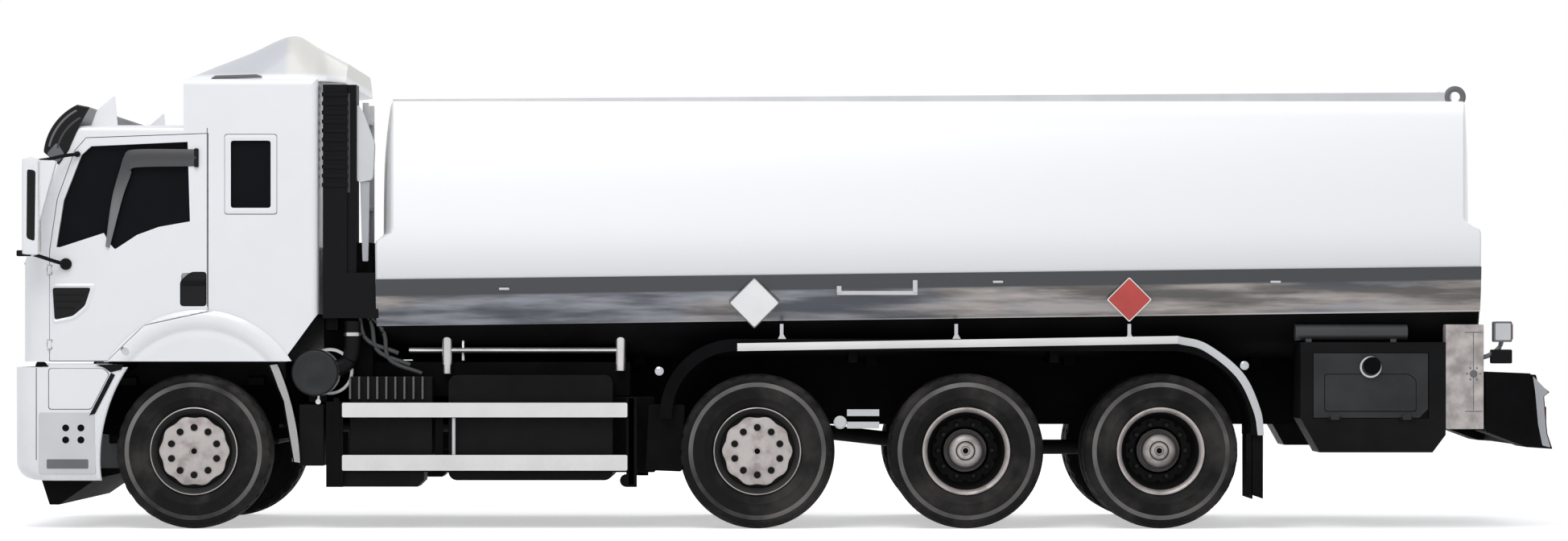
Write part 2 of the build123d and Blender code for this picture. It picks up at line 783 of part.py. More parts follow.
def make_mudguards():
    """Guard over the last three wheels with its lip, and the one behind the front wheel."""
    outer_y = body_half_width
    clear = guard_lip + guard_sheet
    sheet = along_y(arch_face(guard_lip), guard_inner_y, outer_y)
    sheet -= along_y(arch_face(clear, 20), guard_inner_y - 1, outer_y + 1)
    lip = along_y(arch_face(0), outer_y - 12, outer_y) - along_y(arch_face(clear, 20), outer_y - 13, outer_y + 1)
    guard = sheet + lip
    under = guard_top_z - clear
    carriers = Part()
    for x in (second_axle_x + 655, third_axle_x + 605):
        carriers += block(x - 30, x + 30, rail_outer_y + seat_gap, outer_y - 60, under - 80, under + 1)
    for x in (second_axle_x + 175, third_axle_x - 70, fourth_axle_x - 215):
        carriers += block(x - 40, x + 40, outer_y - 280, outer_y - 180, guard_top_z - guard_lip - 1, band_front_high_z)
    guard += carriers - tank_body(band_gap + band_thickness + seat_gap)
    flap = outline(
        (
            (front_x + 1742, 1120),
            (front_x + 1847, 869),
            (front_x + 1918, 451),
            (front_x + 1928, 451),
            (front_x + 1857, 872),
            (front_x + 1752, 1124),
        )
    )
    front_guard = along_y(flap, outer_y - 590, outer_y)
    front_guard += block(front_x + 1865, front_x + 1925, rail_outer_y + seat_gap, outer_y - 580, 720, 780)
    keep("mudguards", group([guard, mirrored(guard), front_guard, mirrored(front_guard)]))

    flap_x = guard_rear_x - guard_lip - 4
    flap = block(flap_x, flap_x + 12, guard_inner_y + 10, outer_y - 30, flap_low_z, guard_rear_low_z - seat_gap)
    keep("mudflaps", both_sides(flap))


def make_side_guards():
    """Two rails down each side between the front and second axles, on three arms."""
    outer = body_half_width
    rail_in = outer - 30
    front_end = front_x + 2255
    rear_end = guard_front_x - 226
    guard = block(front_end, rear_end, rail_in, outer, 760, 860)
    guard += block(front_end, rear_end, rail_in, outer, 390, 505)
    guard += block(front_end - 111, front_end + 4, rail_in - 5, outer - 2, 286, 869)
    guard += block(rear_end - 5, rear_end + 67, rail_in, outer, 286, 902)
    for x in (front_end - 50, front_end + 660, rear_end + 31):
        guard += block(x - 25, x + 25, rail_outer_y + seat_gap, rail_in + 1, 780, 850)
        guard += block(x - 25, x + 25, rail_in - 40, rail_in + 1, 400, 850)
    keep("side_guards", both_sides(guard))


def make_boxes():
    """Battery box, fuel tank and the air tank box between the first two axles."""
    near = rail_outer_y + seat_gap
    side = body_half_width - 60
    battery_front_x = front_x + 2298
    battery_rear_x = battery_front_x + 567
    battery = block(battery_front_x, battery_rear_x, near, side, 500, 1040)
    battery += block(battery_front_x + 37, battery_rear_x - 40, near + 300, side, 391, 501)
    lower = outline(
        (
            (battery_front_x - 143, 286),
            (battery_rear_x - 100, 286),
            (battery_rear_x - 56, 330),
            (battery_rear_x - 56, 391),
            (battery_front_x - 143, 391),
        )
    )
    battery += along_y(lower, side - 280, side + 10)
    fuel_front_x = battery_rear_x + 110
    fuel_rear_x = guard_front_x - 324
    fuel = outline(
        (
            (fuel_front_x, 330),
            (fuel_rear_x, 330),
            (fuel_rear_x, 1050),
            (fuel_front_x, 1050),
        ),
        60,
    )
    tank = along_y(fuel, near, side)
    air = block(front_x + 1955, front_x + 2125, near, side + 20, 430, 850)
    keep("chassis_boxes", group([both_sides(battery), both_sides(tank), both_sides(air)]))


def make_intake():
    """Ribbed air intake behind the cab on the driver's side, and the round filter."""
    y0 = -body_half_width + 60
    y1 = y0 + 250
    stand_z = stand_top_z + seat_gap
    column = block(intake_front_x, intake_front_x + 165, y0, y1, 1750, intake_top_z)
    column += block(intake_front_x, intake_front_x + 380, y0, y1, stand_z, 1751)
    rib_pitch = 62
    rib_z = 2340
    while rib_z + 30 < intake_top_z:
        column += block(intake_front_x - 6, intake_front_x + 171, y0 - 8, y1 + 8, rib_z, rib_z + 26)
        rib_z += rib_pitch
    column += block(intake_front_x + 164, intake_front_x + 227, y0 + 30, y1 - 30, 1750, intake_top_z)

    filter_x = front_x + 2067
    filter_z = 1067
    face_y = -body_half_width
    body = rod_y(filter_x, filter_z, 150, face_y + 15, face_y + 340)
    body += rod_y(filter_x, filter_z, 160, face_y, face_y + 15)
    body += block(filter_x - 60, filter_x + 60, face_y + 190, -rail_outer_y - seat_gap, 865, 930)
    keep("air_intake", group([column, body]))


def make_front_ladder():
    """Ladder up the front head on the driver's side."""
    x0, x1 = front_x + 2360, front_x + 2400
    z0, z1 = 1040 + seat_gap, tank_top_z + 40
    ladder = block(x0, x1, -900, -860, z0, z1) + block(x0, x1, -500, -460, z0, z1)
    z = z0 + 250
    while z < z1 - 50:
        ladder += block(x0 + 5, x1 - 5, -870, -490, z, z + 30)
        z += 300
    return ladder


def make_pipes():
    """Drain tubes under the barrel and the dark pipe along the side."""
    clear = tank_body(band_gap + band_thickness + seat_gap)
    y = -body_half_width + 210
    high_z = tank_bottom_z + 450
    front_x0 = tank_front_x + 498
    rear_x0 = guard_front_x - 276
    drain = rod_z(front_x0, y, 36, 1120, high_z) + rod_z(front_x0, y, 30, 1060, 1125)
    tube = rod_z(rear_x0, y, 36, 1080, high_z)
    link = rod_x(y, 1221, 20, front_x0 - 260, rear_x0 + 15)
    pipes = drain + tube + link
    pipes += rod_z(front_x0 + 110, y, 12, 1150, high_z)
    pipes -= clear
    return pipes


def make_rear_cabinets():
    """Two cabinets behind the wheels, their doors, the lockers and the hose tubes."""
    wall = cabinet_wall
    x0, x1 = cabinet_front_x, cabinet_rear_x
    low, high = cabinet_low_z, cabinet_high_z
    inner, outer = cabinet_inner_y, body_half_width - 5
    profile = outline(
        (
            (x0, low + 232),
            (x0 + 130, low),
            (x1 - 90, low),
            (x1, low + 120),
            (x1, high),
            (x0, high),
        )
    )
    cabinet = along_y(profile, inner, outer)
    dx0, dx1, dz0, dz1 = door_front_x, door_rear_x, door_low_z, door_high_z
    cabinet -= block(dx0 + 30, dx1 - 30, inner + wall, outer + 1, dz0 + 30, dz1 - 30)
    cabinet -= block(dx0, dx1, outer - wall, outer + 1, dz0, dz1)
    for x in (x0 + 200, x1 - 200):
        cabinet += block(x - 30, x + 30, rail_outer_y + seat_gap, inner + 1, 780, 900)
    pin_y = outer + flap_hinge_radius + 0.5
    pin_z = dz0 - 1
    for x in (dx0 + 150, dx1 - 150):
        for low_x in (x - 50, x + 30):
            cabinet += rod_x(pin_y, pin_z, flap_hinge_radius, low_x, low_x + 20)
            cabinet += block(low_x, low_x + 20, outer - 1, pin_y, pin_z - 20, pin_z)
        cabinet += rod_x(pin_y, pin_z, flap_pin_radius, x - 50, x + 50)
    keep("rear_cabinets", both_sides(cabinet))

    gap = door_gap
    face = outline(
        (
            (dx0 + gap, dz0 + gap),
            (dx1 - gap - 60, dz0 + gap),
            (dx1 - gap, dz0 + gap + 60),
            (dx1 - gap, dz1 - gap),
            (dx0 + gap, dz1 - gap),
        )
    )
    door = along_y(face, outer - wall + 1, outer)
    door += rod_y((dx0 + dx1) / 2, dz1 - 90, 72, outer - 1, outer + 14)
    for x in (dx0 + 150, dx1 - 150):
        door += rod_x(pin_y, pin_z, flap_hinge_radius, x - 29, x + 29)
        door += block(x - 29, x + 29, outer - 1, pin_y, dz0 + gap, pin_z + 30)
        door -= rod_x(pin_y, pin_z, flap_pin_radius + turning_gap, x - 30, x + 30)
    keep("cabinet_door_right", door)
    keep("cabinet_door_left", mirrored(door))

    locker_x0 = x1 + seat_gap
    locker = block(locker_x0, rear_x - 475, body_half_width - 130, body_half_width, 682, 1397)
    keep("rear_lockers", both_sides(locker))

    tube_z = high + 66
    tube_y = body_half_width - 90
    hose = rod_x(tube_y, tube_z, 55, x0 - 30, x0 + 737)
    for x in (x0 + 60, x0 + 640):
        hose += block(x - 20, x + 20, tube_y - 40, tube_y + 40, high + seat_gap, tube_z - 40)
    return hose


def make_rear_bumper(head_lamp):
    """Rear bumper beam with its lamp boxes, and every lamp."""
    beam_x = rear_x - 147
    wing_x = rear_x - 461
    sheet = 10
    bumper = block(beam_x, rear_x, -body_half_width, body_half_width, 534, 1056)
    bumper -= block(beam_x - 1, rear_x - sheet, -body_half_width + sheet, body_half_width - sheet, 544, 1046)
    for side in (-1, 1):
        near, far = side * (body_half_width - 440), side * body_half_width
        low = outline(((wing_x, 690), (beam_x + 1, 580), (beam_x + 1, 1078), (wing_x, 1078)))
        bumper += along_y(low, min(near, far), max(near, far))
        near, far = side * rail_inner_y, side * rail_outer_y
        bumper += block(rail_rear_x + seat_gap, rear_x - 1, min(near, far), max(near, far), rail_bottom_z, rail_top_z)
    for y in (-tow_spacing_y / 2, tow_spacing_y / 2):
        for z in (tow_plate_z - tow_spacing_z / 2, tow_plate_z + tow_spacing_z / 2):
            bumper -= rod_x(y, z, tow_hole_radius, rear_x - 2 * sheet, rear_x + 1)
    keep("rear_bumper", bumper)

    stalk_x0 = wing_x + 55
    stalk_x1 = stalk_x0 + 126
    y1 = body_half_width - 5
    y0 = y1 - 85
    stalk = block(stalk_x0, stalk_x1, y0, y1, 1078 + seat_gap, 1215)
    stalk += block(stalk_x0 + 41, stalk_x0 + 81, y0 + 30, y1 - 15, 1078 + seat_gap, 1300)
    stalk += block(stalk_x0, stalk_x1, y0, y1, 1276, 1419)
    keep("lamps", group([both_sides(head_lamp), both_sides(stalk)]))


# ---------------------------------------------------------------- cab
cab_points = (
    (cab_front_x, cab_floor_z),
    (cab_front_x, 1798),
    (front_x + 400, cab_roof_z - 15),
    (front_x + 532, cab_roof_z),
    (front_x + 1170, cab_roof_z),
    (front_x + 1170, cab_high_roof_z),
    (cab_rear_x, cab_high_roof_z),
    (cab_rear_x, 1468),
    (front_x + 1880, 1188),
    (front_x + 1880, cab_floor_z),
)
door_points = (
    (front_x + 257, 1150),
    (front_x + 257, 1900),
    (front_x + 310, 2255),
    (front_x + 430, 2585),
    (front_x + 505, 2670),
    (front_x + 1335, 2700),
    (front_x + 1335, 1485),
    (front_x + 901, 1391),
    (front_x + 653, 1150),
)
door_window_points = (
    (front_x + 300, 1925),
    (front_x + 351, 2245),
    (front_x + 472, 2555),
    (front_x + 538, 2615),
    (front_x + 1198, 2645),
    (front_x + 1214, 2101),
    (front_x + 1000, 2063),
    (front_x + 851, 2008),
    (front_x + 708, 1914),
)
side_window_points = ((front_x + 1473, 2173), (front_x + 1786, 2173), (front_x + 1786, 2668), (front_x + 1473, 2668))


def on_slope(start, end, along0, along1, depth0, depth1, half_width):
    """Slab along the sloping line from start to end, measured along it and inwards."""
    run = (end[0] - start[0], end[1] - start[1])
    length = math.hypot(*run)
    ux, uz = run[0] / length, run[1] / length
    corners = []
    for along, depth in ((along0, depth0), (along1, depth0), (along1, depth1), (along0, depth1)):
        corners.append((start[0] + ux * along + uz * depth, start[1] + uz * along - ux * depth))
    return along_y(outline(corners), -half_width, half_width)


def hinge_leaves(x, y, low, high, reach, radius, bore=0):
    """Round hinge leaf about an upright axis, joined to the panel on one side of it."""
    near, far = sorted((x + math.copysign(8, reach), x + reach))
    leaf = rod_z(x, y, radius, low, high) + block(near, far, y - radius, y - 2, low, high)
    if bore:
        leaf -= rod_z(x, y, bore, low - 1, high + 1)
    return leaf


def rounded_cab(side_face):
    """Cab body cut from its side view, with rounded corner posts, roof edges and back."""
    half = cab_half_width
    body = Part()
    # columns: front X of the piece, height of its roof
    for x, roof_z in ((cab_front_x, cab_roof_z), (cab_points[4][0], cab_high_roof_z)):
        section = make_face(Polyline((-half, cab_floor_z), (half, cab_floor_z), (half, roof_z), (-half, roof_z), close=True))
        section = fillet(section.vertices().sort_by(Axis.Y)[-2:], cab_edge_radius)
        body += along_y(side_face, -half, half) & along_x(section, x, cab_rear_x)
    plan = make_face(
        Polyline((cab_front_x, -half), (cab_rear_x, -half), (cab_rear_x, half), (cab_front_x, half), close=True)
    )
    plan = fillet(plan.vertices().sort_by(Axis.X)[:2], cab_front_corner_radius)
    plan = fillet(plan.vertices().sort_by(Axis.X)[-2:], cab_edge_radius)
    return body & along_z(plan, cab_floor_z, cab_high_roof_z)


def make_cab():
    """Hollow cab with a tunnel over the engine, its window and door openings, and its fittings."""
    outer_face = outline(cab_points)
    shell = rounded_cab(outer_face)
    inner_face = offset(outer_face, amount=-cab_wall, kind=Kind.INTERSECTION)
    shell -= along_y(inner_face, -cab_half_width + cab_wall, cab_half_width - cab_wall)
    shell -= block(
        tunnel_front_x + tunnel_wall,
        tunnel_rear_x - tunnel_wall,
        -tunnel_half_width + tunnel_wall,
        tunnel_half_width - tunnel_wall,
        cab_floor_z - 1,
        cab_floor_z + cab_wall + 1,
    )
    tunnel = block(
        tunnel_front_x, tunnel_rear_x, -tunnel_half_width, tunnel_half_width, cab_floor_z + 1, tunnel_top_z
    )
    tunnel -= block(
        tunnel_front_x + tunnel_wall,
        tunnel_rear_x - tunnel_wall,
        -tunnel_half_width + tunnel_wall,
        tunnel_half_width - tunnel_wall,
        cab_floor_z,
        tunnel_top_z - tunnel_wall,
    )
    shell += tunnel
    screen = (cab_points[1], cab_points[2])
    glass_half = cab_half_width - 120
    shell -= on_slope(*screen, 60, 930, -20, cab_wall + 20, glass_half)
    opening = offset(outline(door_points), amount=door_gap, kind=Kind.INTERSECTION)
    shell -= along_y(opening, -cab_half_width - 1, -cab_half_width + cab_wall + 10)
    shell -= along_y(opening, cab_half_width - cab_wall - 10, cab_half_width + 1)
    side_window = outline(side_window_points, 30)
    shell -= along_y(side_window, -cab_half_width - 1, cab_half_width + 1)
    flare = outline(
        (
            (front_x + 665, cab_floor_z),
            (front_x + 907, 1374),
            (front_x + 1320, 1464),
            (front_x + 1671, 1380),
            (front_x + 1880, 1188),
            (front_x + 1880, cab_floor_z),
        )
    )
    arm_face = outline(
        (
            (pivot_x - 45, pivot_z - 45),
            (pivot_x + 45, pivot_z - 45),
            (front_x + 785, cab_floor_z + 1),
            (front_x + 645, cab_floor_z + 1),
            (pivot_x - 45, pivot_z + 45),
        )
    )
    for side in (-1, 1):
        near, far = side * (cab_half_width - 2), side * (cab_half_width + 10)
        shell += along_y(flare, min(near, far), max(near, far))
        near, far = side * pivot_arm_y, side * (pivot_arm_y + pivot_arm_thickness)
        shell += along_y(arm_face, min(near, far), max(near, far))
        bore = rod_y(pivot_x, pivot_z, pivot_pin_radius + turning_gap, min(near, far) - 1, max(near, far) + 1)
        shell -= bore
    for z in door_hinge_levels:
        pocket = rod_z(door_hinge_x, cab_half_width, door_hinge_radius + 5, z - 4, z + 64)
        lugs = hinge_leaves(door_hinge_x, cab_half_width, z, z + 12, -40, door_hinge_radius)
        lugs += hinge_leaves(door_hinge_x, cab_half_width, z + 48, z + 60, -40, door_hinge_radius)
        lugs += rod_z(door_hinge_x, cab_half_width, door_pin_radius, z, z + 60)
        shell = shell - pocket - mirrored(pocket) + lugs + mirrored(lugs)
    keep("cab_shell", shell)

    panes = [on_slope(*screen, 60, 930, 20, 20 + glass_thickness, glass_half)]
    for side in (-1, 1):
        near, far = side * (cab_half_width - 20), side * (cab_half_width - 20 - glass_thickness)
        panes.append(along_y(side_window, min(near, far), max(near, far)))
    keep("cab_glass", group(panes))

    fairing_side = outline(
        (
            (front_x + 1175, cab_high_roof_z + seat_gap),
            (front_x + 1401, 3201),
            (front_x + 1676, 3284),
            (front_x + 1814, 3350),
            (front_x + 1907, 3390),
            (front_x + 2292, 3223),
            (front_x + 2309, cab_high_roof_z + seat_gap),
        )
    )
    wide = fairing_half_width
    plan = outline(
        (
            (front_x + 1165, wide - 420),
            (front_x + 1865, wide - 60),
            (front_x + 2315, wide),
            (front_x + 2315, -wide),
            (front_x + 1865, -wide + 60),
            (front_x + 1165, -wide + 420),
        )
    )
    low_z = cab_high_roof_z - 20
    front = outline(
        (
            (-wide - 10, low_z),
            (wide + 10, low_z),
            (wide - 30, low_z + 140),
            (wide - 280, low_z + 340),
            (-wide + 280, low_z + 340),
            (-wide + 30, low_z + 140),
        )
    )
    fairing = along_y(fairing_side, -fairing_half_width, fairing_half_width)
    fairing &= along_z(plan, cab_high_roof_z - 50, 3450)
    fairing &= along_x(front, front_x + 1065, front_x + 2365)
    keep("roof_fairing", fairing)

    visor_face = outline(
        (
            (front_x + 213, 2574),
            (front_x + 312, 2800),
            (front_x + 444, 2899),
            (front_x + 532, 2882),
            (front_x + 389, 2591),
            (front_x + 318, 2486),
        )
    )
    visor = along_y(visor_face, -cab_half_width - 14, cab_half_width + 14)
    hidden = offset(outer_face, amount=12, kind=Kind.INTERSECTION)
    visor -= along_y(hidden, -cab_half_width - seat_gap, cab_half_width + seat_gap)
    keep("sun_visor", visor)

    grille_half = cab_half_width - 240
    grille = block(cab_front_x - 16, cab_front_x - seat_gap, -grille_half, grille_half, 1180, 1780)
    slot_z = 1240
    while slot_z < 1560:
        grille -= block(cab_front_x - 30, cab_front_x + 1, -grille_half + 140, grille_half - 140, slot_z, slot_z + 34)
        slot_z += 66
    keep("front_grille", grille)

    floor_z = cab_floor_z + cab_wall
    seats = []
    for side in (-1, 1):
        y0, y1 = side * seat_y - seat_width / 2, side * seat_y + seat_width / 2
        base = block(front_x + 705, front_x + 1125, y0 + 60, y1 - 60, floor_z + seat_gap, 1540)
        cushion = block(front_x + 625, front_x + 1155, y0, y1, 1540, 1660)
        back = along_y(outline(((front_x + 1115, 1600), (front_x + 1255, 1600), (front_x + 1385, 2280), (front_x + 1285, 2280))), y0, y1)
        seats.append(base + cushion + back)
    bunk = block(front_x + 1465, cab_rear_x - cab_wall - seat_gap, -cab_half_width + 140, cab_half_width - 140, tunnel_top_z + seat_gap, 1650)
    keep("seats", group(seats + [bunk]))

    dash = outline(
        (
            (cab_front_x + cab_wall + seat_gap, floor_z + seat_gap),
            (front_x + 335, floor_z + seat_gap),
            (front_x + 335, 1500),
            (front_x + 465, 1640),
            (front_x + 425, 1780),
            (cab_front_x + cab_wall + seat_gap, 1780),
        )
    )
    board = along_y(dash, -cab_half_width + cab_wall + 20, cab_half_width - cab_wall - 20)
    board -= block(tunnel_front_x - 40, front_x + 565, -tunnel_half_width - 1, tunnel_half_width + 1, floor_z, tunnel_top_z + 1)
    centre = Vector(front_x + 605, -seat_y, 1800)
    tilt = Plane(origin=centre, z_dir=(0.55, 0, 0.84))
    ring = tilt * Torus(wheel_rim_radius, 16)
    spokes = tilt * Box(2 * wheel_rim_radius, 40, 14)
    column = bar((front_x + 605, -seat_y, 1800), (front_x + 405, -seat_y, 1495), 32)
    board += ring + spokes + column
    keep("dashboard", board)


def make_doors():
    """Cab doors hinged at their front edges, with their windows, and the mirrors on them."""
    outer = cab_half_width
    inner = outer - door_thickness
    window = outline(door_window_points)
    door = along_y(outline(door_points), inner, outer) - along_y(window, inner - 1, outer + 1)
    pocket = outline(((front_x + 1154, 1529), (front_x + 1319, 1529), (front_x + 1319, 1749), (front_x + 1154, 1749)), 20)
    door -= along_y(pocket, outer - 25, outer + 1)
    door += block(front_x + 1153, front_x + 1320, outer - 14, outer - 2, 1660, 1700)
    for z in door_hinge_levels:
        door -= rod_z(door_hinge_x, outer, door_hinge_radius + 5, z - 4, z + 64)
        bore = door_pin_radius + turning_gap
        door += hinge_leaves(door_hinge_x, outer, z + 12.5, z + 47.5, 40, door_hinge_radius, bore)
    keep("door_right", door)
    keep("door_left", mirrored(door))
    pane_y = outer - 30
    pane = along_y(window, pane_y - glass_thickness, pane_y)
    keep("door_glass_right", pane)
    keep("door_glass_left", mirrored(pane))

    face = outline(((front_x + 54, 1900), (front_x + 85, 1854), (front_x + 300, 1854), (front_x + 328, 1900), (front_x + 328, 2500), (front_x + 300, 2541), (front_x + 85, 2541), (front_x + 54, 2500)))
    near, far = outer + mirror_standoff, outer + mirror_standoff + 90
    mirror_piece = along_y(face, near, far)
    mirror_piece += rod_y(front_x + 367, 1809, 40, outer + seat_gap, outer + 30)
    mirror_piece += bar((front_x + 367, outer + 15, 1809), (front_x + 205, near + 40, 1880), 14)
    mirror_piece += rod_y(front_x + 447, 2560, 20, outer + seat_gap, outer + 30)
    mirror_piece += bar((front_x + 447, outer + 15, 2560), (front_x + 225, near + 40, 2500), 14)
    keep("mirror_right", mirror_piece)
    keep("mirror_left", mirrored(mirror_piece))


os.makedirs("parts", exist_ok=True)
make_wheels()
make_front_axle()
make_rear_axles()
make_suspension()
make_chassis_frame()
make_engine()
make_rear_bumper(make_front_bumper())
make_tank()
keep("tank_access", group([make_tank_top(), make_front_ladder()] + make_lids()))
make_mudguards()
make_side_guards()
make_boxes()
make_intake()
side_tubes = [make_pipes(), make_rear_cabinets()]
keep("side_tubes", group([both_sides(tube) for tube in side_tubes]))
make_cab()
make_doors()
for node, shape in parts.items():
    export_step(shape, f"parts/{node}.step")
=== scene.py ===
# %% [markdown]
# A four-axle road tanker, dressed for rendering.
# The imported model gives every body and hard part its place. This script lays
# smooth, detailed surfaces over it and gives every part a procedural finish.
# All sizes are in metres: +X points to the tail, +Z up, and the driver sits on the -Y side.

# %% Load the frame
import json
import math
import bmesh
import bpy
import numpy as np
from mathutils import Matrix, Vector


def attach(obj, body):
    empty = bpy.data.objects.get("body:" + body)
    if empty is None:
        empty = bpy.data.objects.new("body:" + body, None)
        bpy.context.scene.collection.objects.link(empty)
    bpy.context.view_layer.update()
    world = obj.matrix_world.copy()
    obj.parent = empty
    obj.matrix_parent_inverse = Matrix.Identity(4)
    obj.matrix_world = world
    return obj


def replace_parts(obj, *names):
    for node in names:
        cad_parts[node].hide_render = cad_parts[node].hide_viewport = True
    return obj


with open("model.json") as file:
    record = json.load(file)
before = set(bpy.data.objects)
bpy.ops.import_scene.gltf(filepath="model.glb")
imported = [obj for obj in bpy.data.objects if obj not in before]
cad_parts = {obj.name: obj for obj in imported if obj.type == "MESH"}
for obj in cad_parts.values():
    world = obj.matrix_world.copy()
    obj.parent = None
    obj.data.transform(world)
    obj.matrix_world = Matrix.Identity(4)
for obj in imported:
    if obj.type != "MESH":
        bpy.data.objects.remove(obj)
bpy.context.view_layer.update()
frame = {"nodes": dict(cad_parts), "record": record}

# %% [markdown]
# Every new surface here is a grid: rows along one direction, columns along the other.
# A grid turns into a mesh by joining neighbouring points with four-cornered faces,
# so a shape is only ever a formula for its points.

# %% Grids into meshes
FRONT, SECOND, THIRD, FOURTH = -4.03, -0.175, 1.255, 2.585
AXLES = {"front": FRONT, "second": SECOND, "third": THIRD, "fourth": FOURTH}
AXLE_Z = 0.53
WHEEL_Y = 1.09
TWINS = ("third", "fourth")
TWIN_GAP = 0.33
SIDES = {"left": -1.0, "right": 1.0}


def grid_faces(rows, cols, close_rows=False, close_cols=False):
    """Corner numbers of the quads between neighbouring rows and columns of a grid."""
    r = np.arange(rows if close_rows else rows - 1)[:, None]
    c = np.arange(cols if close_cols else cols - 1)[None, :]
    r2, c2 = (r + 1) % rows, (c + 1) % cols
    quads = np.stack([r * cols + c, r * cols + c2, r2 * cols + c2, r2 * cols + c], axis=-1)
    return quads.reshape(-1, 4)


def closed_rows(points):
    """Faces of a grid whose rows close on themselves, with a cap on the first and the last column."""
    n, m = np.shape(points)[:2]
    ends = [[k * m for k in range(n)], [k * m + m - 1 for k in range(n)][::-1]]
    return grid_faces(n, m, close_rows=True).tolist() + ends


def capped_columns(points):
    """Faces of a grid whose columns close on themselves, with a cap on the first and the last row."""
    n, m = np.shape(points)[:2]
    ends = [list(range(m))[::-1], list(range((n - 1) * m, n * m))]
    return grid_faces(n, m, close_cols=True).tolist() + ends


def add_mesh(name, points, faces, material, body, sharp=35):
    """Closed mesh of points and faces, turned outwards, smooth but for edges over the sharp angle."""
    mesh = bpy.data.meshes.new(name)
    places = np.asarray(points, dtype=float).reshape(-1, 3).tolist()
    mesh.from_pydata(places, [], [list(map(int, f)) for f in faces])
    mesh.validate()
    obj = bpy.data.objects.new(name, mesh)
    bpy.context.scene.collection.objects.link(obj)
    obj.data.materials.append(material)
    mesh.shade_smooth()
    mesh.set_sharp_from_angle(angle=math.radians(sharp))
    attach(obj, body)
    bm = bmesh.new()
    bm.from_mesh(mesh)
    bmesh.ops.remove_doubles(bm, verts=bm.verts, dist=1e-6)
    bmesh.ops.recalc_face_normals(bm, faces=bm.faces)
    bm.to_mesh(mesh)
    bm.free()
    return obj


def bevel(obj, width, segments=3, angle=40):
    """Round a piece's edges that are sharper than the angle."""
    mod = obj.modifiers.new("soft_edges", "BEVEL")
    mod.width = width
    mod.segments = segments
    mod.limit_method = "ANGLE"
    mod.angle_limit = math.radians(angle)
    mod.harden_normals = True
    return obj


def prism(name, outline, y0, y1, material, body, soft=0.0):
    """Plate cut to an X-Z outline, carried straight across from y0 to y1."""
    rows = [[(x, y, z) for x, z in outline] for y in (y0, y1)]
    obj = add_mesh(name, rows, capped_columns(rows), material, body)
    return bevel(obj, soft) if soft else obj


def lathe(name, profile, centre, material, body, steps=96, close=False, axis="y"):
    """Profile of (radius, along) turned about an axis: centre + radius (cos a, sin a) across + along."""
    prof = np.asarray(profile, dtype=float)
    a = np.linspace(0, 2 * math.pi, steps, endpoint=False)
    across_1, across_2 = prof[:, 0:1] * np.cos(a), prof[:, 0:1] * np.sin(a)
    along = prof[:, 1:2] + 0 * a
    order = {
        "x": (along, across_1, across_2),
        "y": (across_1, along, across_2),
        "z": (across_1, across_2, along),
    }
    pts = np.stack(order[axis], axis=-1) + np.asarray(centre, dtype=float)
    faces = grid_faces(len(prof), steps, close_rows=close, close_cols=True)
    return add_mesh(name, pts, faces, material, body)


def rect(x0, z0, x1, z1):
    """Corners of an upright rectangle, starting with (x0, z0) and then (x1, z0)."""
    return [(x0, z0), (x1, z0), (x1, z1), (x0, z1)]


def slab(name, low, high, material, body, soft=0.003):
    """Six-sided plate between two corners with rounded edges."""
    (x0, y0, z0), (x1, y1, z1) = np.minimum(low, high), np.maximum(low, high)
    return prism(name, rect(x0, z0, x1, z1), y0, y1, material, body, soft)


def tube(name, path, radius, material, body, sides=16):
    """Round pipe: a circle carried along the path, square to it, with flat ends."""
    p = np.asarray(path, dtype=float)
    t = np.gradient(p, axis=0)
    t /= np.linalg.norm(t, axis=1, keepdims=True)
    up = np.where(np.abs(t[:, 2:3]) > 0.9, [[0.0, 1.0, 0.0]], [[0.0, 0.0, 1.0]])
    u = np.cross(t, up)
    u /= np.linalg.norm(u, axis=1, keepdims=True)
    v = np.cross(t, u)
    a = np.linspace(0, 2 * math.pi, sides, endpoint=False)
    circle = np.cos(a)[None, :, None] * u[:, None, :] + np.sin(a)[None, :, None] * v[:, None, :]
    pts = p[:, None, :] + radius * circle
    return add_mesh(name, pts, capped_columns(pts), material, body)


def smooth_path(points, steps=12):
    """Path through the points, each stretch a Catmull-Rom blend of its four neighbours."""
    p = np.asarray(points, dtype=float)
    p = np.vstack([2 * p[0] - p[1], p, 2 * p[-1] - p[-2]])
    t = np.linspace(0, 1, steps, endpoint=False)[None, :, None]
    a, b, c, d = (p[i:len(p) - 3 + i, None, :] for i in range(4))
    square, cube = 2 * a - 5 * b + 4 * c - d, 3 * b - a - 3 * c + d
    run = 0.5 * (2 * b + (c - a) * t + square * t ** 2 + cube * t ** 3)
    return np.vstack([run.reshape(-1, p.shape[1]), p[-2]])


def joined(name, pieces):
    """One object from several, so that a set of like details is one piece."""
    base = pieces[0]
    with bpy.context.temp_override(active_object=base, selected_editable_objects=pieces, object=base):
        bpy.ops.object.join()
    base.name = name
    return base


def edge_loop(index):
    """Corner numbers once round the edge of a block of a grid."""
    return np.concatenate([index[:, 0], index[-1, 1:], index[::-1, -1][1:], index[0, ::-1][1:]])


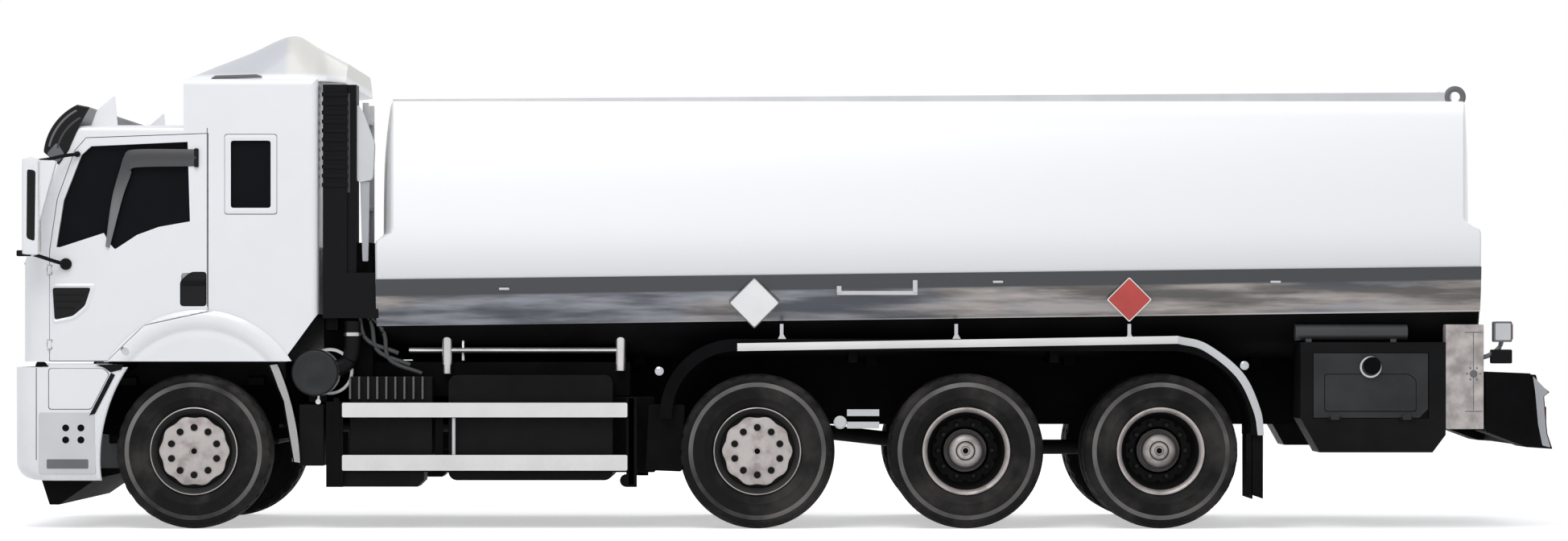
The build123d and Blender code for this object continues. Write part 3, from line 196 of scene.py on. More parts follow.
def shell_between(name, outer, inner, material, body, sharp, holes=()):
    """Two grids of one shape, joined round their edges and round holes (row, row, column, column)."""
    rows, cols = outer.shape[:2]
    far = rows * cols
    index = np.arange(far).reshape(rows, cols)
    keep = np.ones((rows - 1, cols - 1), dtype=bool)
    loops = [edge_loop(index)]
    for r0, r1, c0, c1 in holes:
        keep[r0:r1, c0:c1] = False
        loops.append(edge_loop(index[r0:r1 + 1, c0:c1 + 1]))
    walls = [[a, b, b + far, a + far] for loop in loops for a, b in zip(loop[:-1], loop[1:])]
    sheet = grid_faces(rows, cols)[keep.reshape(-1)]
    faces = sheet.tolist() + (sheet[:, ::-1] + far).tolist() + walls
    return add_mesh(name, np.stack([outer, inner]), faces, material, body, sharp)


def two_tone(mesh, second, pick):
    """Give the faces whose centres pick(x, y, z) chooses a second material."""
    mesh.materials.append(second)
    centre = np.empty(3 * len(mesh.polygons))
    mesh.polygons.foreach_get("center", centre)
    choice = pick(*centre.reshape(-1, 3).T).astype(np.int32)
    mesh.polygons.foreach_set("material_index", choice)


def stand_for(pieces, node):
    """Let several pieces together stand for one node of the frame."""
    for piece in pieces:
        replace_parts(piece, node)


# %% [markdown]
# Panels, gaskets and rails are flat outlines in X and Z. These helpers round a
# polygon's corners, find the arc through three points, and carry the space between
# two lines across, as a closed frame or as a strip with a crowned face.

# %% Outlines with round corners
def rounded(points, radius, steps=6):
    """Closed outline whose corners turn into quadratic curves that start a radius away."""
    p = np.asarray(points, dtype=float)
    before, after = np.roll(p, 1, axis=0) - p, np.roll(p, -1, axis=0) - p
    run_in = np.linalg.norm(before, axis=1, keepdims=True)
    run_out = np.linalg.norm(after, axis=1, keepdims=True)
    reach = np.minimum(radius, 0.45 * np.minimum(run_in, run_out))
    start, end = p + before / run_in * reach, p + after / run_out * reach
    t = np.linspace(0, 1, steps)[None, :, None]
    curve = (1 - t) ** 2 * start[:, None] + 2 * t * (1 - t) * p[:, None] + t ** 2 * end[:, None]
    return curve.reshape(-1, 2)


def arc_through(a, b, c, steps=24, inset=0.0):
    """Points on the circle through a, b and c, from a to c, moved in towards its centre."""
    a, b, c = (np.asarray(v, dtype=float) for v in (a, b, c))
    m = 2 * np.array([b - a, c - a])
    centre = np.linalg.solve(m, np.array([b @ b - a @ a, c @ c - a @ a]))
    radius = np.linalg.norm(a - centre) - inset
    angle = np.unwrap([math.atan2(*(v - centre)[::-1]) for v in (a, b, c)])
    turn = np.linspace(angle[0], angle[2], steps)
    return centre + radius * np.column_stack([np.cos(turn), np.sin(turn)])


def frame_strip(name, outer, inner, y0, y1, material, body, crown=0.0):
    """Closed ring between two outlines of equal length, its middle raised by the crown."""
    outer, inner = np.asarray(outer, dtype=float), np.asarray(inner, dtype=float)
    middle = (outer + inner) / 2
    top = y1 + math.copysign(crown, y1 - y0)
    rows = [(outer, y0), (outer, y1), (middle, top), (inner, y1), (inner, y0)]
    pts = np.array([np.column_stack([line[:, 0], np.full(len(line), y), line[:, 1]]) for line, y in rows])
    faces = grid_faces(len(rows), len(outer), close_rows=True, close_cols=True)
    return add_mesh(name, pts, faces, material, body)


def band_strip(name, upper, lower, y0, y1, material, body, crown=0.0, rows=7):
    """Solid strip between two open lines of equal length, its outer face crowned as sin(pi v)."""
    upper, lower = np.asarray(upper, dtype=float), np.asarray(lower, dtype=float)
    v = np.linspace(0, 1, rows)
    y = y1 + math.copysign(crown, y1 - y0) * np.sin(math.pi * v)
    line = upper[None] * (1 - v[:, None, None]) + lower[None] * v[:, None, None]
    face = np.stack([line[..., 0], np.broadcast_to(y[:, None], line.shape[:2]), line[..., 1]], axis=-1)
    back = face[[-1, 0]].copy()
    back[..., 1] = y0
    pts = np.concatenate([face, back])
    return add_mesh(name, pts, closed_rows(pts), material, body)


def resampled(line, count):
    """The same line with a given number of evenly spaced points."""
    line = np.asarray(line, dtype=float)
    along = np.concatenate([[0.0], np.cumsum(np.linalg.norm(np.diff(line, axis=0), axis=1))])
    at = np.linspace(0, along[-1], count)
    return np.column_stack([np.interp(at, along, line[:, k]) for k in range(line.shape[1])])


def scaled(outline, along, up):
    """Outline made larger or smaller about its middle."""
    middle = outline.mean(axis=0)
    return (outline - middle) * [along, up] + middle


# %% [markdown]
# Most pieces come in pairs. A Half makes the pieces of one side: distances across
# count outwards from the middle plane, and @ in a name stands for the side.

# %% Pieces of one side
class Half:
    """The makers above for one side of the truck and one body."""

    def __init__(self, side, body="chassis"):
        self.side, self.s, self.body = side, SIDES[side], body.replace("@", side)

    def named(self, name):
        """Name with the side put in."""
        return name.replace("@", self.side)

    def out(self, points):
        """Points with their second number, the distance across, turned to this side."""
        points = np.array(points, dtype=float)
        points[..., 1] *= self.s
        return points

    def across(self, make, name, first, second, y0, y1, material, *rest):
        """Piece of a maker that takes one or two outlines and carries them across."""
        lines = (first,) if second is None else (first, second)
        return make(self.named(name), *lines, self.s * y0, self.s * y1, material, self.body, *rest)

    def prism(self, name, outline, y0, y1, material, soft=0.0):
        """Plate of this side."""
        return self.across(prism, name, outline, None, y0, y1, material, soft)

    def ring(self, name, outer, inner, y0, y1, material, crown=0.0):
        """Frame strip of this side."""
        return self.across(frame_strip, name, outer, inner, y0, y1, material, crown)

    def strip(self, name, upper, lower, y0, y1, material, crown=0.0):
        """Band strip of this side."""
        return self.across(band_strip, name, upper, lower, y0, y1, material, crown)

    def slab(self, name, low, high, material, soft=0.003):
        """Slab of this side."""
        return slab(self.named(name), self.out(low), self.out(high), material, self.body, soft)

    def tube(self, name, path, radius, material, sides=16):
        """Pipe of this side."""
        return tube(self.named(name), self.out(path), radius, material, self.body, sides)

    def lathe(self, name, profile, centre, material, steps=96, close=False):
        """Profile of (radius, outwards) turned about a line across the truck."""
        profile, centre = self.out(profile), self.out(centre)
        return lathe(self.named(name), profile, centre, material, self.body, steps, close)

    def joined(self, name, pieces):
        """One object from several of this side."""
        return joined(self.named(name), pieces)

    def pegs(self, name, x, y0, y1, z, radius, material, sides, count=1, pitch=0.0, turn=0.0):
        """One short round peg on a line across the truck, or a ring of them about it."""
        shoulder = y1 - 0.15 * (y1 - y0)
        profile = [(0.0, y0), (radius, y0), (radius, shoulder), (0.8 * radius, y1), (0.0, y1)]
        angles = [2 * math.pi * k / count + turn for k in range(count)]
        places = [(x + pitch * math.cos(a), 0.0, z + pitch * math.sin(a)) for a in angles]
        return self.joined(name, [
            self.lathe(f"{name}_{k}", profile, place, material, sides) for k, place in enumerate(places)
        ])


# %% [markdown]
# Paint, metal and rubber all carry the same two kinds of use: dirt thrown up from
# the road, which thins with height, and fine unevenness. Each is built once as a
# node group with its own inputs, and every finish sets its own amounts.

# %% Node groups for road dirt and unevenness
def new_group(name, inputs, output):
    """Empty shader group with number sockets, and its input and output nodes."""
    group = bpy.data.node_groups.new(name, "ShaderNodeTree")
    for label, value in inputs:
        socket = group.interface.new_socket(label, in_out="INPUT", socket_type="NodeSocketFloat")
        socket.default_value = value
    group.interface.new_socket(output, in_out="OUTPUT", socket_type="NodeSocketFloat")
    return group, group.nodes.new("NodeGroupInput"), group.nodes.new("NodeGroupOutput")


def set_inputs(node, **values):
    """Set inputs of a node by their labels, with _ for a space."""
    for label, value in values.items():
        node.inputs[label.replace("_", " ")].default_value = value
    return node


def feed(tree, node, values):
    """Give a node's numbered inputs a socket, a number or a colour each."""
    for slot, value in values:
        if hasattr(value, "is_output"):
            tree.links.new(value, node.inputs[slot])
        else:
            node.inputs[slot].default_value = value if isinstance(value, (int, float)) else (*value, 1.0)


def math_node(tree, operation, a, b, clamp=False):
    """Math node with each operand a socket or a number."""
    node = tree.nodes.new("ShaderNodeMath")
    node.operation = operation
    node.use_clamp = clamp
    feed(tree, node, ((0, a), (1, b)))
    return node.outputs[0]


def plus(tree, a, b, clamp=False):
    """Sum of two sockets or numbers."""
    return math_node(tree, "ADD", a, b, clamp)


def minus(tree, a, b, clamp=False):
    """Difference of two sockets or numbers."""
    return math_node(tree, "SUBTRACT", a, b, clamp)


def times(tree, a, b, clamp=False):
    """Product of two sockets or numbers."""
    return math_node(tree, "MULTIPLY", a, b, clamp)


def mix_colour(tree, factor, a, b):
    """Colour mix with each input a socket or a value."""
    node = tree.nodes.new("ShaderNodeMix")
    node.data_type = "RGBA"
    feed(tree, node, ((0, factor), (6, a), (7, b)))
    return node.outputs[2]


def noise(tree, vector, scale, detail=4.0, rough=0.55):
    """Noise texture on the given coordinates."""
    node = tree.nodes.new("ShaderNodeTexNoise")
    set_inputs(node, Scale=scale, Detail=detail, Roughness=rough)
    tree.links.new(vector, node.inputs["Vector"])
    return node.outputs["Fac"]


def ramp(tree, value, low, high):
    """Map a value from low..high onto 0..1, smoothly."""
    node = tree.nodes.new("ShaderNodeMapRange")
    node.interpolation_type = "SMOOTHSTEP"
    set_inputs(node, From_Min=low, From_Max=high)
    tree.links.new(value, node.inputs["Value"])
    return node.outputs["Result"]


def object_point(tree):
    """Object coordinates and their three parts."""
    coord = tree.nodes.new("ShaderNodeTexCoord")
    split = tree.nodes.new("ShaderNodeSeparateXYZ")
    tree.links.new(coord.outputs["Object"], split.inputs[0])
    return coord.outputs["Object"], split.outputs


def make_road_dirt():
    """Mask of dirt: more near the road, broken up by noise of two sizes."""
    group, gin, gout = new_group("road_dirt", [("Amount", 0.5), ("Fade height", 1.2)], "Mask")
    point, parts = object_point(group)
    low = math_node(group, "DIVIDE", parts[2], gin.outputs["Fade height"])
    near_road = minus(group, 1.0, low, clamp=True)
    big = ramp(group, noise(group, point, 3.0), 0.35, 0.7)
    fine = ramp(group, noise(group, point, 40.0), 0.3, 0.75)
    both = plus(group, times(group, big, 0.6), times(group, fine, 0.4))
    mask = times(group, near_road, both)
    mask = times(group, mask, gin.outputs["Amount"], clamp=True)
    group.links.new(mask, gout.inputs[0])
    return group


def make_unevenness():
    """Height made of a slow wave and a fine grain."""
    inputs = [("Wave", 0.5), ("Grain", 0.5), ("Grain scale", 300.0)]
    group, gin, gout = new_group("unevenness", inputs, "Height")
    point, _ = object_point(group)
    slow = times(group, noise(group, point, 1.6, 2.0), gin.outputs["Wave"])
    fine = group.nodes.new("ShaderNodeTexNoise")
    fine.inputs["Detail"].default_value = 3.0
    group.links.new(point, fine.inputs["Vector"])
    group.links.new(gin.outputs["Grain scale"], fine.inputs["Scale"])
    grain = times(group, fine.outputs["Fac"], gin.outputs["Grain"])
    group.links.new(plus(group, slow, grain), gout.inputs[0])
    return group


ROAD_DIRT = make_road_dirt()
UNEVENNESS = make_unevenness()
print("node groups", [g.name for g in bpy.data.node_groups])


# %% One recipe for hard finishes
DIRT_COLOUR = (0.16, 0.145, 0.125)


def new_material(name):
    """Material with its node tree, its shader and the object coordinates."""
    mat = bpy.data.materials.new(name)
    mat.use_nodes = True
    tree = mat.node_tree
    return mat, tree, tree.nodes["Principled BSDF"], object_point(tree)[0]


def group_node(tree, group, **values):
    """Node that runs a group with the given inputs."""
    node = tree.nodes.new("ShaderNodeGroup")
    node.node_tree = group
    return set_inputs(node, **values).outputs[0]


def finish(
    name, colour, rough, metallic=0.0, dirt=0.3, fade=1.2, shade=0.06, shade_scale=2.5, wave=0.0,
    grain=0.2, grain_scale=300.0, bump=0.0005, coat=0.0, specular=0.5, colour_socket=None,
):
    """Hard finish: a slightly uneven colour under road dirt, over a bumped surface."""
    mat, tree, shader, point = new_material(name)
    if colour_socket:
        base = colour_socket(tree)
    else:
        tint = ramp(tree, noise(tree, point, shade_scale, 5.0), 0.3, 0.7)
        darker = [c * (1 - shade) for c in colour]
        lighter = [min(1.0, c * (1 + shade)) for c in colour]
        base = mix_colour(tree, tint, darker, lighter)
    mud = group_node(tree, ROAD_DIRT, Amount=dirt, Fade_height=fade)
    dirty = mix_colour(tree, mud, base, DIRT_COLOUR)
    tree.links.new(dirty, shader.inputs["Base Color"])
    spots = ramp(tree, noise(tree, point, 18.0, 6.0), 0.3, 0.7)
    dull = times(tree, mud, 0.9 - rough)
    vary = times(tree, spots, 0.1 * rough + 0.01)
    level = plus(tree, plus(tree, dull, vary), rough, clamp=True)
    tree.links.new(level, shader.inputs["Roughness"])
    if metallic:
        hidden = times(tree, mud, metallic)
        metal = minus(tree, metallic, hidden, clamp=True)
        tree.links.new(metal, shader.inputs["Metallic"])
    set_inputs(shader, Specular_IOR_Level=specular, Coat_Weight=coat, Coat_Roughness=0.05)
    height = group_node(tree, UNEVENNESS, Wave=wave, Grain=grain, Grain_scale=grain_scale)
    dent = tree.nodes.new("ShaderNodeBump")
    set_inputs(dent, Distance=bump)
    tree.links.new(height, dent.inputs["Height"])
    tree.links.new(dent.outputs["Normal"], shader.inputs["Normal"])
    return mat


# %% [markdown]
# The barrel's lower side is covered with polished steel sheet. On the road it
# mirrors the ground and what stands beside it, so it reads as long streaks of
# grey and brown under a dark upper edge. The streaks are painted reflections,
# drawn into the colour from noise that is stretched along the truck, on top of a
# real mirror gloss, and the dark upper edge is painted shadow.

# %% Colours that change along the truck
def height_above_band(tree):
    """Height over the line between the sheet and its painted shadow strip above it, which climbs 110 mm over
    7.4 m.
    """
    _, parts = object_point(tree)
    climb = times(tree, plus(tree, parts[0], 2.79), 0.0149)
    return minus(tree, parts[2], plus(tree, climb, 1.586))


def stretched_noise(tree, scale, detail, seed):
    """Noise drawn out along the truck's length."""
    coord = tree.nodes.new("ShaderNodeTexCoord")
    mapping = tree.nodes.new("ShaderNodeMapping")
    set_inputs(mapping, Scale=scale, Location=(seed, seed * 0.7, seed * 1.3))
    tree.links.new(coord.outputs["Object"], mapping.inputs["Vector"])
    return noise(tree, mapping.outputs["Vector"], 1.0, detail)


def painted_reflection_colour(tree):
    """Painted shadow strip along the top over painted reflections, streaks of grey and brown, with a pale
    lower edge.
    """
    h = height_above_band(tree)
    # painted reflections: streaks of grey and brown drawn out along the truck
    reflection_streaks = ramp(tree, stretched_noise(tree, (0.9, 1.0, 9.0), 5.0, 3.0), 0.38, 0.66)
    warm = ramp(tree, stretched_noise(tree, (0.6, 1.0, 3.0), 2.0, 8.0), 0.48, 0.64)
    grey = mix_colour(tree, reflection_streaks, (0.065, 0.071, 0.085), (0.27, 0.28, 0.31))
    brown = mix_colour(tree, reflection_streaks, (0.1, 0.092, 0.088), (0.42, 0.38, 0.355))
    sheet = mix_colour(tree, warm, grey, brown)
    # painted shadow: the strip along the sheet's top turns dark
    top = ramp(tree, h, -0.006, 0.012)
    sheet = mix_colour(tree, top, sheet, (0.05, 0.053, 0.057))
    edge = ramp(tree, times(tree, h, -1.0), 0.197, 0.207)
    return mix_colour(tree, edge, sheet, (0.5, 0.47, 0.44))


def tank_painted_shade_colour(tree):
    """White that greys a little towards the barrel's underside: painted shade where the side turns down away
    from the light.
    """
    _, parts = object_point(tree)
    return mix_colour(tree, ramp(tree, parts[2], 1.62, 2.1), (0.73, 0.738, 0.75), (0.955, 0.955, 0.955))


def patchy(tree, scale, detail, clean, dusty):
    """Clean colour with patches of a dusty one."""
    point, _ = object_point(tree)
    return mix_colour(tree, ramp(tree, noise(tree, point, scale, detail), 0.42, 0.72), clean, dusty)


def alloy_colour(tree):
    """Pinkish forged alloy with brake dust that gathers in patches."""
    return patchy(tree, 9.0, 6.0, (0.5, 0.46, 0.445), (0.3, 0.262, 0.25))


def rubber_colour(tree):
    """Dull black rubber with dusty grey patches."""
    return patchy(tree, 2.6, 5.0, (0.0075, 0.0073, 0.0073), (0.042, 0.039, 0.037))


# %% Finishes
WHITE = finish(
    "white_paint", (0.83, 0.835, 0.85), 0.3, dirt=0.22, fade=0.9, shade=0.012, wave=0.6,
    bump=0.0006, coat=0.3,
)
# the tank's white greys towards its underside as painted shade
TANK_WHITE = finish(
    "tank_white", (0.9, 0.9, 0.9), 0.34, dirt=0.0, wave=1.0, bump=0.002, coat=0.2,
    colour_socket=tank_painted_shade_colour,
)
BLACK = finish(
    "black_chassis_paint", (0.0035, 0.0035, 0.004), 0.6, dirt=0.018, shade=0.35, grain=0.4,
    bump=0.0008, specular=0.04,
)
DARK_BOX = finish(
    "dark_box_paint", (0.0055, 0.0056, 0.006), 0.5, dirt=0.02, shade=0.3, bump=0.0006,
    specular=0.08,
)
BLACK_PLASTIC = finish(
    "black_plastic", (0.005, 0.005, 0.0058), 0.42, dirt=0.02, grain=0.6, grain_scale=900.0,
    bump=0.0003, specular=0.1,
)
SMOKED = finish(
    "smoked_plastic", (0.006, 0.006, 0.007), 0.2, dirt=0.02, grain=0.1, bump=0.0001, specular=0.2,
)
GUARD_GREY = finish("grey_guard_paint", (0.46, 0.455, 0.445), 0.4, dirt=0.3, shade=0.1, bump=0.0006)
BRIGHT = finish("bright_rail", (0.8, 0.79, 0.775), 0.32, dirt=0.18, shade=0.05, bump=0.0004)
LIGHT_GREY = finish(
    "light_grey_paint", (0.62, 0.625, 0.63), 0.4, dirt=0.08, shade=0.05, bump=0.0004,
)
GREY_STEP = finish(
    "grey_step_panel", (0.4, 0.41, 0.43), 0.5, dirt=0.3, grain_scale=700.0, bump=0.0004,
)
STEEL = finish(
    "stainless_steel", (0.56, 0.55, 0.54), 0.26, metallic=1.0, dirt=0.3, fade=1.6, shade=0.2,
    grain=0.5, bump=0.0006,
)
PINKISH = finish(
    "brushed_locker_steel", (0.43, 0.395, 0.38), 0.4, metallic=0.4, dirt=0.3, fade=1.8, shade=0.3,
    shade_scale=9.0, grain=0.7, bump=0.0006,
)
IRON = finish(
    "cast_iron", (0.025, 0.025, 0.026), 0.6, metallic=0.3, dirt=0.08, shade=0.3, grain=0.9,
    grain_scale=220.0, bump=0.001, specular=0.15,
)
RIM_DARK = finish(
    "dark_disc_paint", (0.006, 0.006, 0.0064), 0.45, dirt=0.03, shade=0.3, bump=0.0005,
    specular=0.08,
)
RUBBER_SHEET = finish(
    "rubber_sheet", (0.005, 0.005, 0.005), 0.75, dirt=0.03, grain=0.8, bump=0.0008, specular=0.05,
)
GREY_PLASTIC = finish(
    "grey_plastic", (0.13, 0.133, 0.14), 0.45, dirt=0.1, grain_scale=800.0, bump=0.0004,
)
PIPE_GREY = finish("dark_pipe_paint", (0.03, 0.031, 0.033), 0.4, dirt=0.1, shade=0.1, bump=0.0004)
HOSE_GREY = finish(
    "grey_hose_tube", (0.1, 0.1, 0.1), 0.5, dirt=0.1, shade=0.12, grain=0.7, bump=0.0008,
)
CLOTH = finish(
    "seat_cloth", (0.03, 0.03, 0.033), 0.9, dirt=0.0, grain=1.0, grain_scale=1400.0, bump=0.0008,
    specular=0.2,
)
# the polished sheet's colour carries painted reflections and a painted shadow strip
POLISHED = finish(
    "polished_steel", (0.4, 0.4, 0.4), 0.16, metallic=0.35, dirt=0.0, wave=1.0, grain=0.15,
    bump=0.003, colour_socket=painted_reflection_colour,
)
DOOR_GREY = finish(
    "cabinet_door_paint", (0.032, 0.033, 0.035), 0.42, dirt=0.04, shade=0.25, bump=0.0005,
    specular=0.15,
)
AMBER = finish("amber_lens", (0.55, 0.16, 0.02), 0.15, dirt=0.1, shade=0.05, bump=0.0002)
RED_LENS = finish("red_lens", (0.35, 0.015, 0.012), 0.15, dirt=0.15, shade=0.05, bump=0.0002)
RED_PLATE = finish("red_plate", (0.5, 0.06, 0.05), 0.35, dirt=0.06, shade=0.12, bump=0.0003)
WHITE_PLATE = finish("white_plate", (0.82, 0.82, 0.81), 0.35, dirt=0.06, shade=0.06, bump=0.0003)
CLEAR_LENS = finish(
    "clear_lens", (0.55, 0.56, 0.58), 0.08, metallic=0.3, dirt=0.05, grain=0.9, grain_scale=120.0,
    bump=0.0015, coat=0.6,
)
ALLOY = finish(
    "forged_alloy", (0.5, 0.46, 0.44), 0.36, metallic=0.55, dirt=0.25, grain=0.5, bump=0.0005,
    colour_socket=alloy_colour,
)
print("finishes", len(bpy.data.materials))


def make_glass(name, tint, weight):
    """Tinted glass: mostly clear, with the plain metallic and transmission that export reads."""
    mat, tree, shader, point = new_material(name)
    haze = ramp(tree, noise(tree, point, 5.0, 4.0), 0.4, 0.8)
    tree.links.new(mix_colour(tree, haze, tint, [c * 1.15 for c in tint]), shader.inputs["Base Color"])
    smear = plus(tree, times(tree, haze, 0.03), 0.02)
    tree.links.new(smear, shader.inputs["Roughness"])
    set_inputs(shader, Transmission_Weight=weight, IOR=1.1, Specular_IOR_Level=0.3)
    return mat


TYRE_RUBBER = finish(
    "tyre_rubber", (0.03, 0.03, 0.03), 0.6, dirt=0.02, grain=0.6, grain_scale=260.0, bump=0.0012,
    specular=0.1, colour_socket=rubber_colour,
)
# painted highlight: the pale ring on each tyre's shoulder
SHOULDER_HIGHLIGHT = finish(
    "dusty_tyre_shoulder", (0.1, 0.094, 0.09), 0.6, dirt=0.0, shade=0.85, shade_scale=1.4,
    grain=0.6, bump=0.0008, specular=0.3,
)
GLASS = make_glass("tinted_glass", (0.012, 0.013, 0.015), 0.35)
GLASS_CLEAR = make_glass("clear_lamp_glass", (0.9, 0.92, 0.93), 1.0)

# %% [markdown]
# A CAD part whose shape is right keeps it. Its mesh is loose triangles, so a copy is
# welded, which lets its round faces shade smoothly, and the copy stands for the part.

# %% Welded copies of CAD parts
NODE_BODY = {n: b for b, nodes in frame["record"]["behaviour"]["bodies"].items() for n in nodes}


def refined(node, material, soft=0.0, second=None, pick=None):
    """Welded copy of a CAD node, its edges rounded if asked, with a second material where picked."""
    source = frame["nodes"][node]
    bm = bmesh.new()
    bm.from_mesh(source.data)
    bmesh.ops.remove_doubles(bm, verts=bm.verts, dist=2e-5)
    bmesh.ops.dissolve_limit(bm, angle_limit=math.radians(0.6), verts=bm.verts, edges=bm.edges)
    mesh = bpy.data.meshes.new(node + "_skin")
    bm.to_mesh(mesh)
    bm.free()
    obj = bpy.data.objects.new(node + "_skin", mesh)
    bpy.context.scene.collection.objects.link(obj)
    mesh.materials.clear()
    mesh.materials.append(material)
    if second:
        two_tone(mesh, second, pick)
    mesh.shade_smooth()
    mesh.set_sharp_from_angle(angle=math.radians(30))
    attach(obj, NODE_BODY[node])
    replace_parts(obj, node)
    if soft:
        bevel(obj, soft, 2, 50)
    return obj


SKINS = [
    (BLACK_PLASTIC, 0.004, "front_grille"),
    (WHITE, 0.0, "door_left door_right"),
    (BLACK_PLASTIC, 0.0, "dashboard"),
    (CLOTH, 0.03, "seats"),
    (LIGHT_GREY, 0.002, "tank_access"),
    (STEEL, 0.004, "tank_lid_1 tank_lid_2 tank_lid_3"),
    (BLACK, 0.0, "mudguards"),
    (RUBBER_SHEET, 0.003, "mudflaps"),
    (BLACK, 0.004, "side_guards"),
    (BLACK_PLASTIC, 0.006, "air_intake"),
    (DARK_BOX, 0.008, "chassis_boxes"),
    (BLACK, 0.003, "chassis_frame tank_subframe"),
    (DARK_BOX, 0.004, "rear_cabinets"),
    (DOOR_GREY, 0.004, "cabinet_door_left cabinet_door_right"),
    (PINKISH, 0.006, "rear_lockers"),
    (IRON, 0.01, "engine_block"),
    (IRON, 0.0, "drive_line"),
    (IRON, 0.004, "front_axle second_axle"),
    (RUBBER_SHEET, 0.0, "suspension"),
    (IRON, 0.003, "knuckle_left knuckle_right"),
    (GLASS, 0.0, "cab_glass door_glass_left door_glass_right"),
]
for material, soft, nodes in SKINS:
    for node in nodes.split():
        refined(node, material, soft)

# nodes with two finishes, told apart by where a face lies; the cab's black faces are painted shade
def shaded_cab_faces(x, y, z):
    """Faces of the cab's floor and of the lower rear wall, painted black as shade."""
    return (abs(y) < 1.2) & (((x > -3.5) & (z < 1.46)) | (z < 1.15))


def dark_tubes(x, y, z):
    """Faces of the tail tubes and of the cross tube under the barrel."""
    return (x > 3.0) | ((z > 1.195) & (z < 1.246) & (y ** 2 < 1.1))


refined("cab_shell", WHITE, second=BLACK, pick=shaded_cab_faces)
refined("side_tubes", STEEL, second=PIPE_GREY, pick=dark_tubes)
print("welded", sum(len(nodes.split()) for _, _, nodes in SKINS) + 2, "parts")

# %% [markdown]
# A truck tyre is a ring with a nearly upright sidewall, a rounded shoulder and a
# flat tread with grooves. Its section is turned about the axle, and the shoulder
# blocks are cut by pulling every few steps of the turn inwards.

# %% Tyres
def tyre_section():
    """Half section as radius and distance from the middle plane, from tread centre to bead."""
    top, groove = 0.53, 0.52
    return [
        (top, 0.0), (top, 0.016), (groove, 0.018), (groove, 0.028),
        (top, 0.03), (top, 0.062), (groove, 0.064), (groove, 0.074),
        (0.5295, 0.076), (0.527, 0.104), (0.523, 0.116), (0.514, 0.126), (0.502, 0.1315),
        (0.49, 0.1345), (0.488, 0.1375), (0.478, 0.1385), (0.476, 0.1365), (0.455, 0.1415),
        (0.43, 0.144), (0.4, 0.1435), (0.372, 0.139), (0.368, 0.1405), (0.362, 0.1405),
        (0.358, 0.1365), (0.335, 0.128), (0.318, 0.119), (0.309, 0.112), (0.3005, 0.104),
        (0.2855, 0.1035),
    ]


def make_tyre(name, x, y, body):
    """Turned tyre section; the shoulder's radius drops by 9 mm over every third pair of steps."""
    half = np.array(tyre_section())
    prof = np.vstack([half[::-1] * [1, -1], half[1:]])
    steps = 180
    a = np.linspace(0, 2 * math.pi, steps, endpoint=False)
    r = np.repeat(prof[:, 0:1], steps, axis=1)
    notch = (np.arange(steps) % 6 < 2).astype(float)
    shoulder = (np.abs(prof[:, 1]) > 0.074) & (prof[:, 0] > 0.495)
    r[shoulder] -= 0.009 * notch[None, :]
    pts = np.stack([x + r * np.cos(a), y + prof[:, 1:2] + 0 * a, AXLE_Z + r * np.sin(a)], axis=-1)
    faces = grid_faces(len(prof), steps, close_cols=True)
    return add_mesh(name, pts, faces, TYRE_RUBBER, body, 30)


for axle, x in AXLES.items():
    for side, s in SIDES.items():
        body = f"wheel_{axle}_{side}"
        node = f"tyre_{axle}_{side}"
        rows = (0.0, TWIN_GAP) if axle in TWINS else (0.0,)
        for number, inset in enumerate(rows):
            rubber = make_tyre(f"{node}_tread_{number}", x, s * (WHEEL_Y - inset), body)
            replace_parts(rubber, node)
print("tyres made")

# %% [markdown]
# The steered and the plain axle carry flat-faced forged wheels. The middle is
# a raised disc whose edge is scalloped between ten bolts. The drive axles carry
# deep dished rims with a bright lip and a round hub in the middle.

# %% Wheels
DISC_RADIUS = 0.236


def flower_disc(half, name, x, y, material):
    """Disc with an edge radius of 0.236 + 0.007 cos 10a, whose face rises in steps to the middle."""
    steps = 160
    a = np.linspace(0, 2 * math.pi, steps, endpoint=False)
    edge = DISC_RADIUS + 0.007 * np.cos(10 * a)
    levels = [
        (0.985, -0.03), (1.0, -0.004), (0.985, 0.004), (0.93, 0.008), (0.6, 0.014),
        (0.5, 0.022), (0.42, 0.024), (0.13, 0.026), (0.12, 0.018), (0.0, 0.018),
    ]
    rings = []
    for share, out in levels:
        r = share * (edge if share > 0.7 else DISC_RADIUS + 0 * a)
        ring = [x + r * np.cos(a), y + out + 0 * a, AXLE_Z + r * np.sin(a)]
        rings.append(np.stack(ring, axis=-1))
    faces = grid_faces(len(rings), steps, close_cols=True)
    return add_mesh(name, half.out(rings), faces, material, half.body)


def wheel_pegs(half, node, x, rows):
    """Pegs on a wheel: a row is a name, first and last distance from its middle, and what pegs takes."""
    return [
        half.pegs(f"{node}_{name}", x, WHEEL_Y + y0, WHEEL_Y + y1, AXLE_Z, *rest)
        for name, y0, y1, *rest in rows
    ]


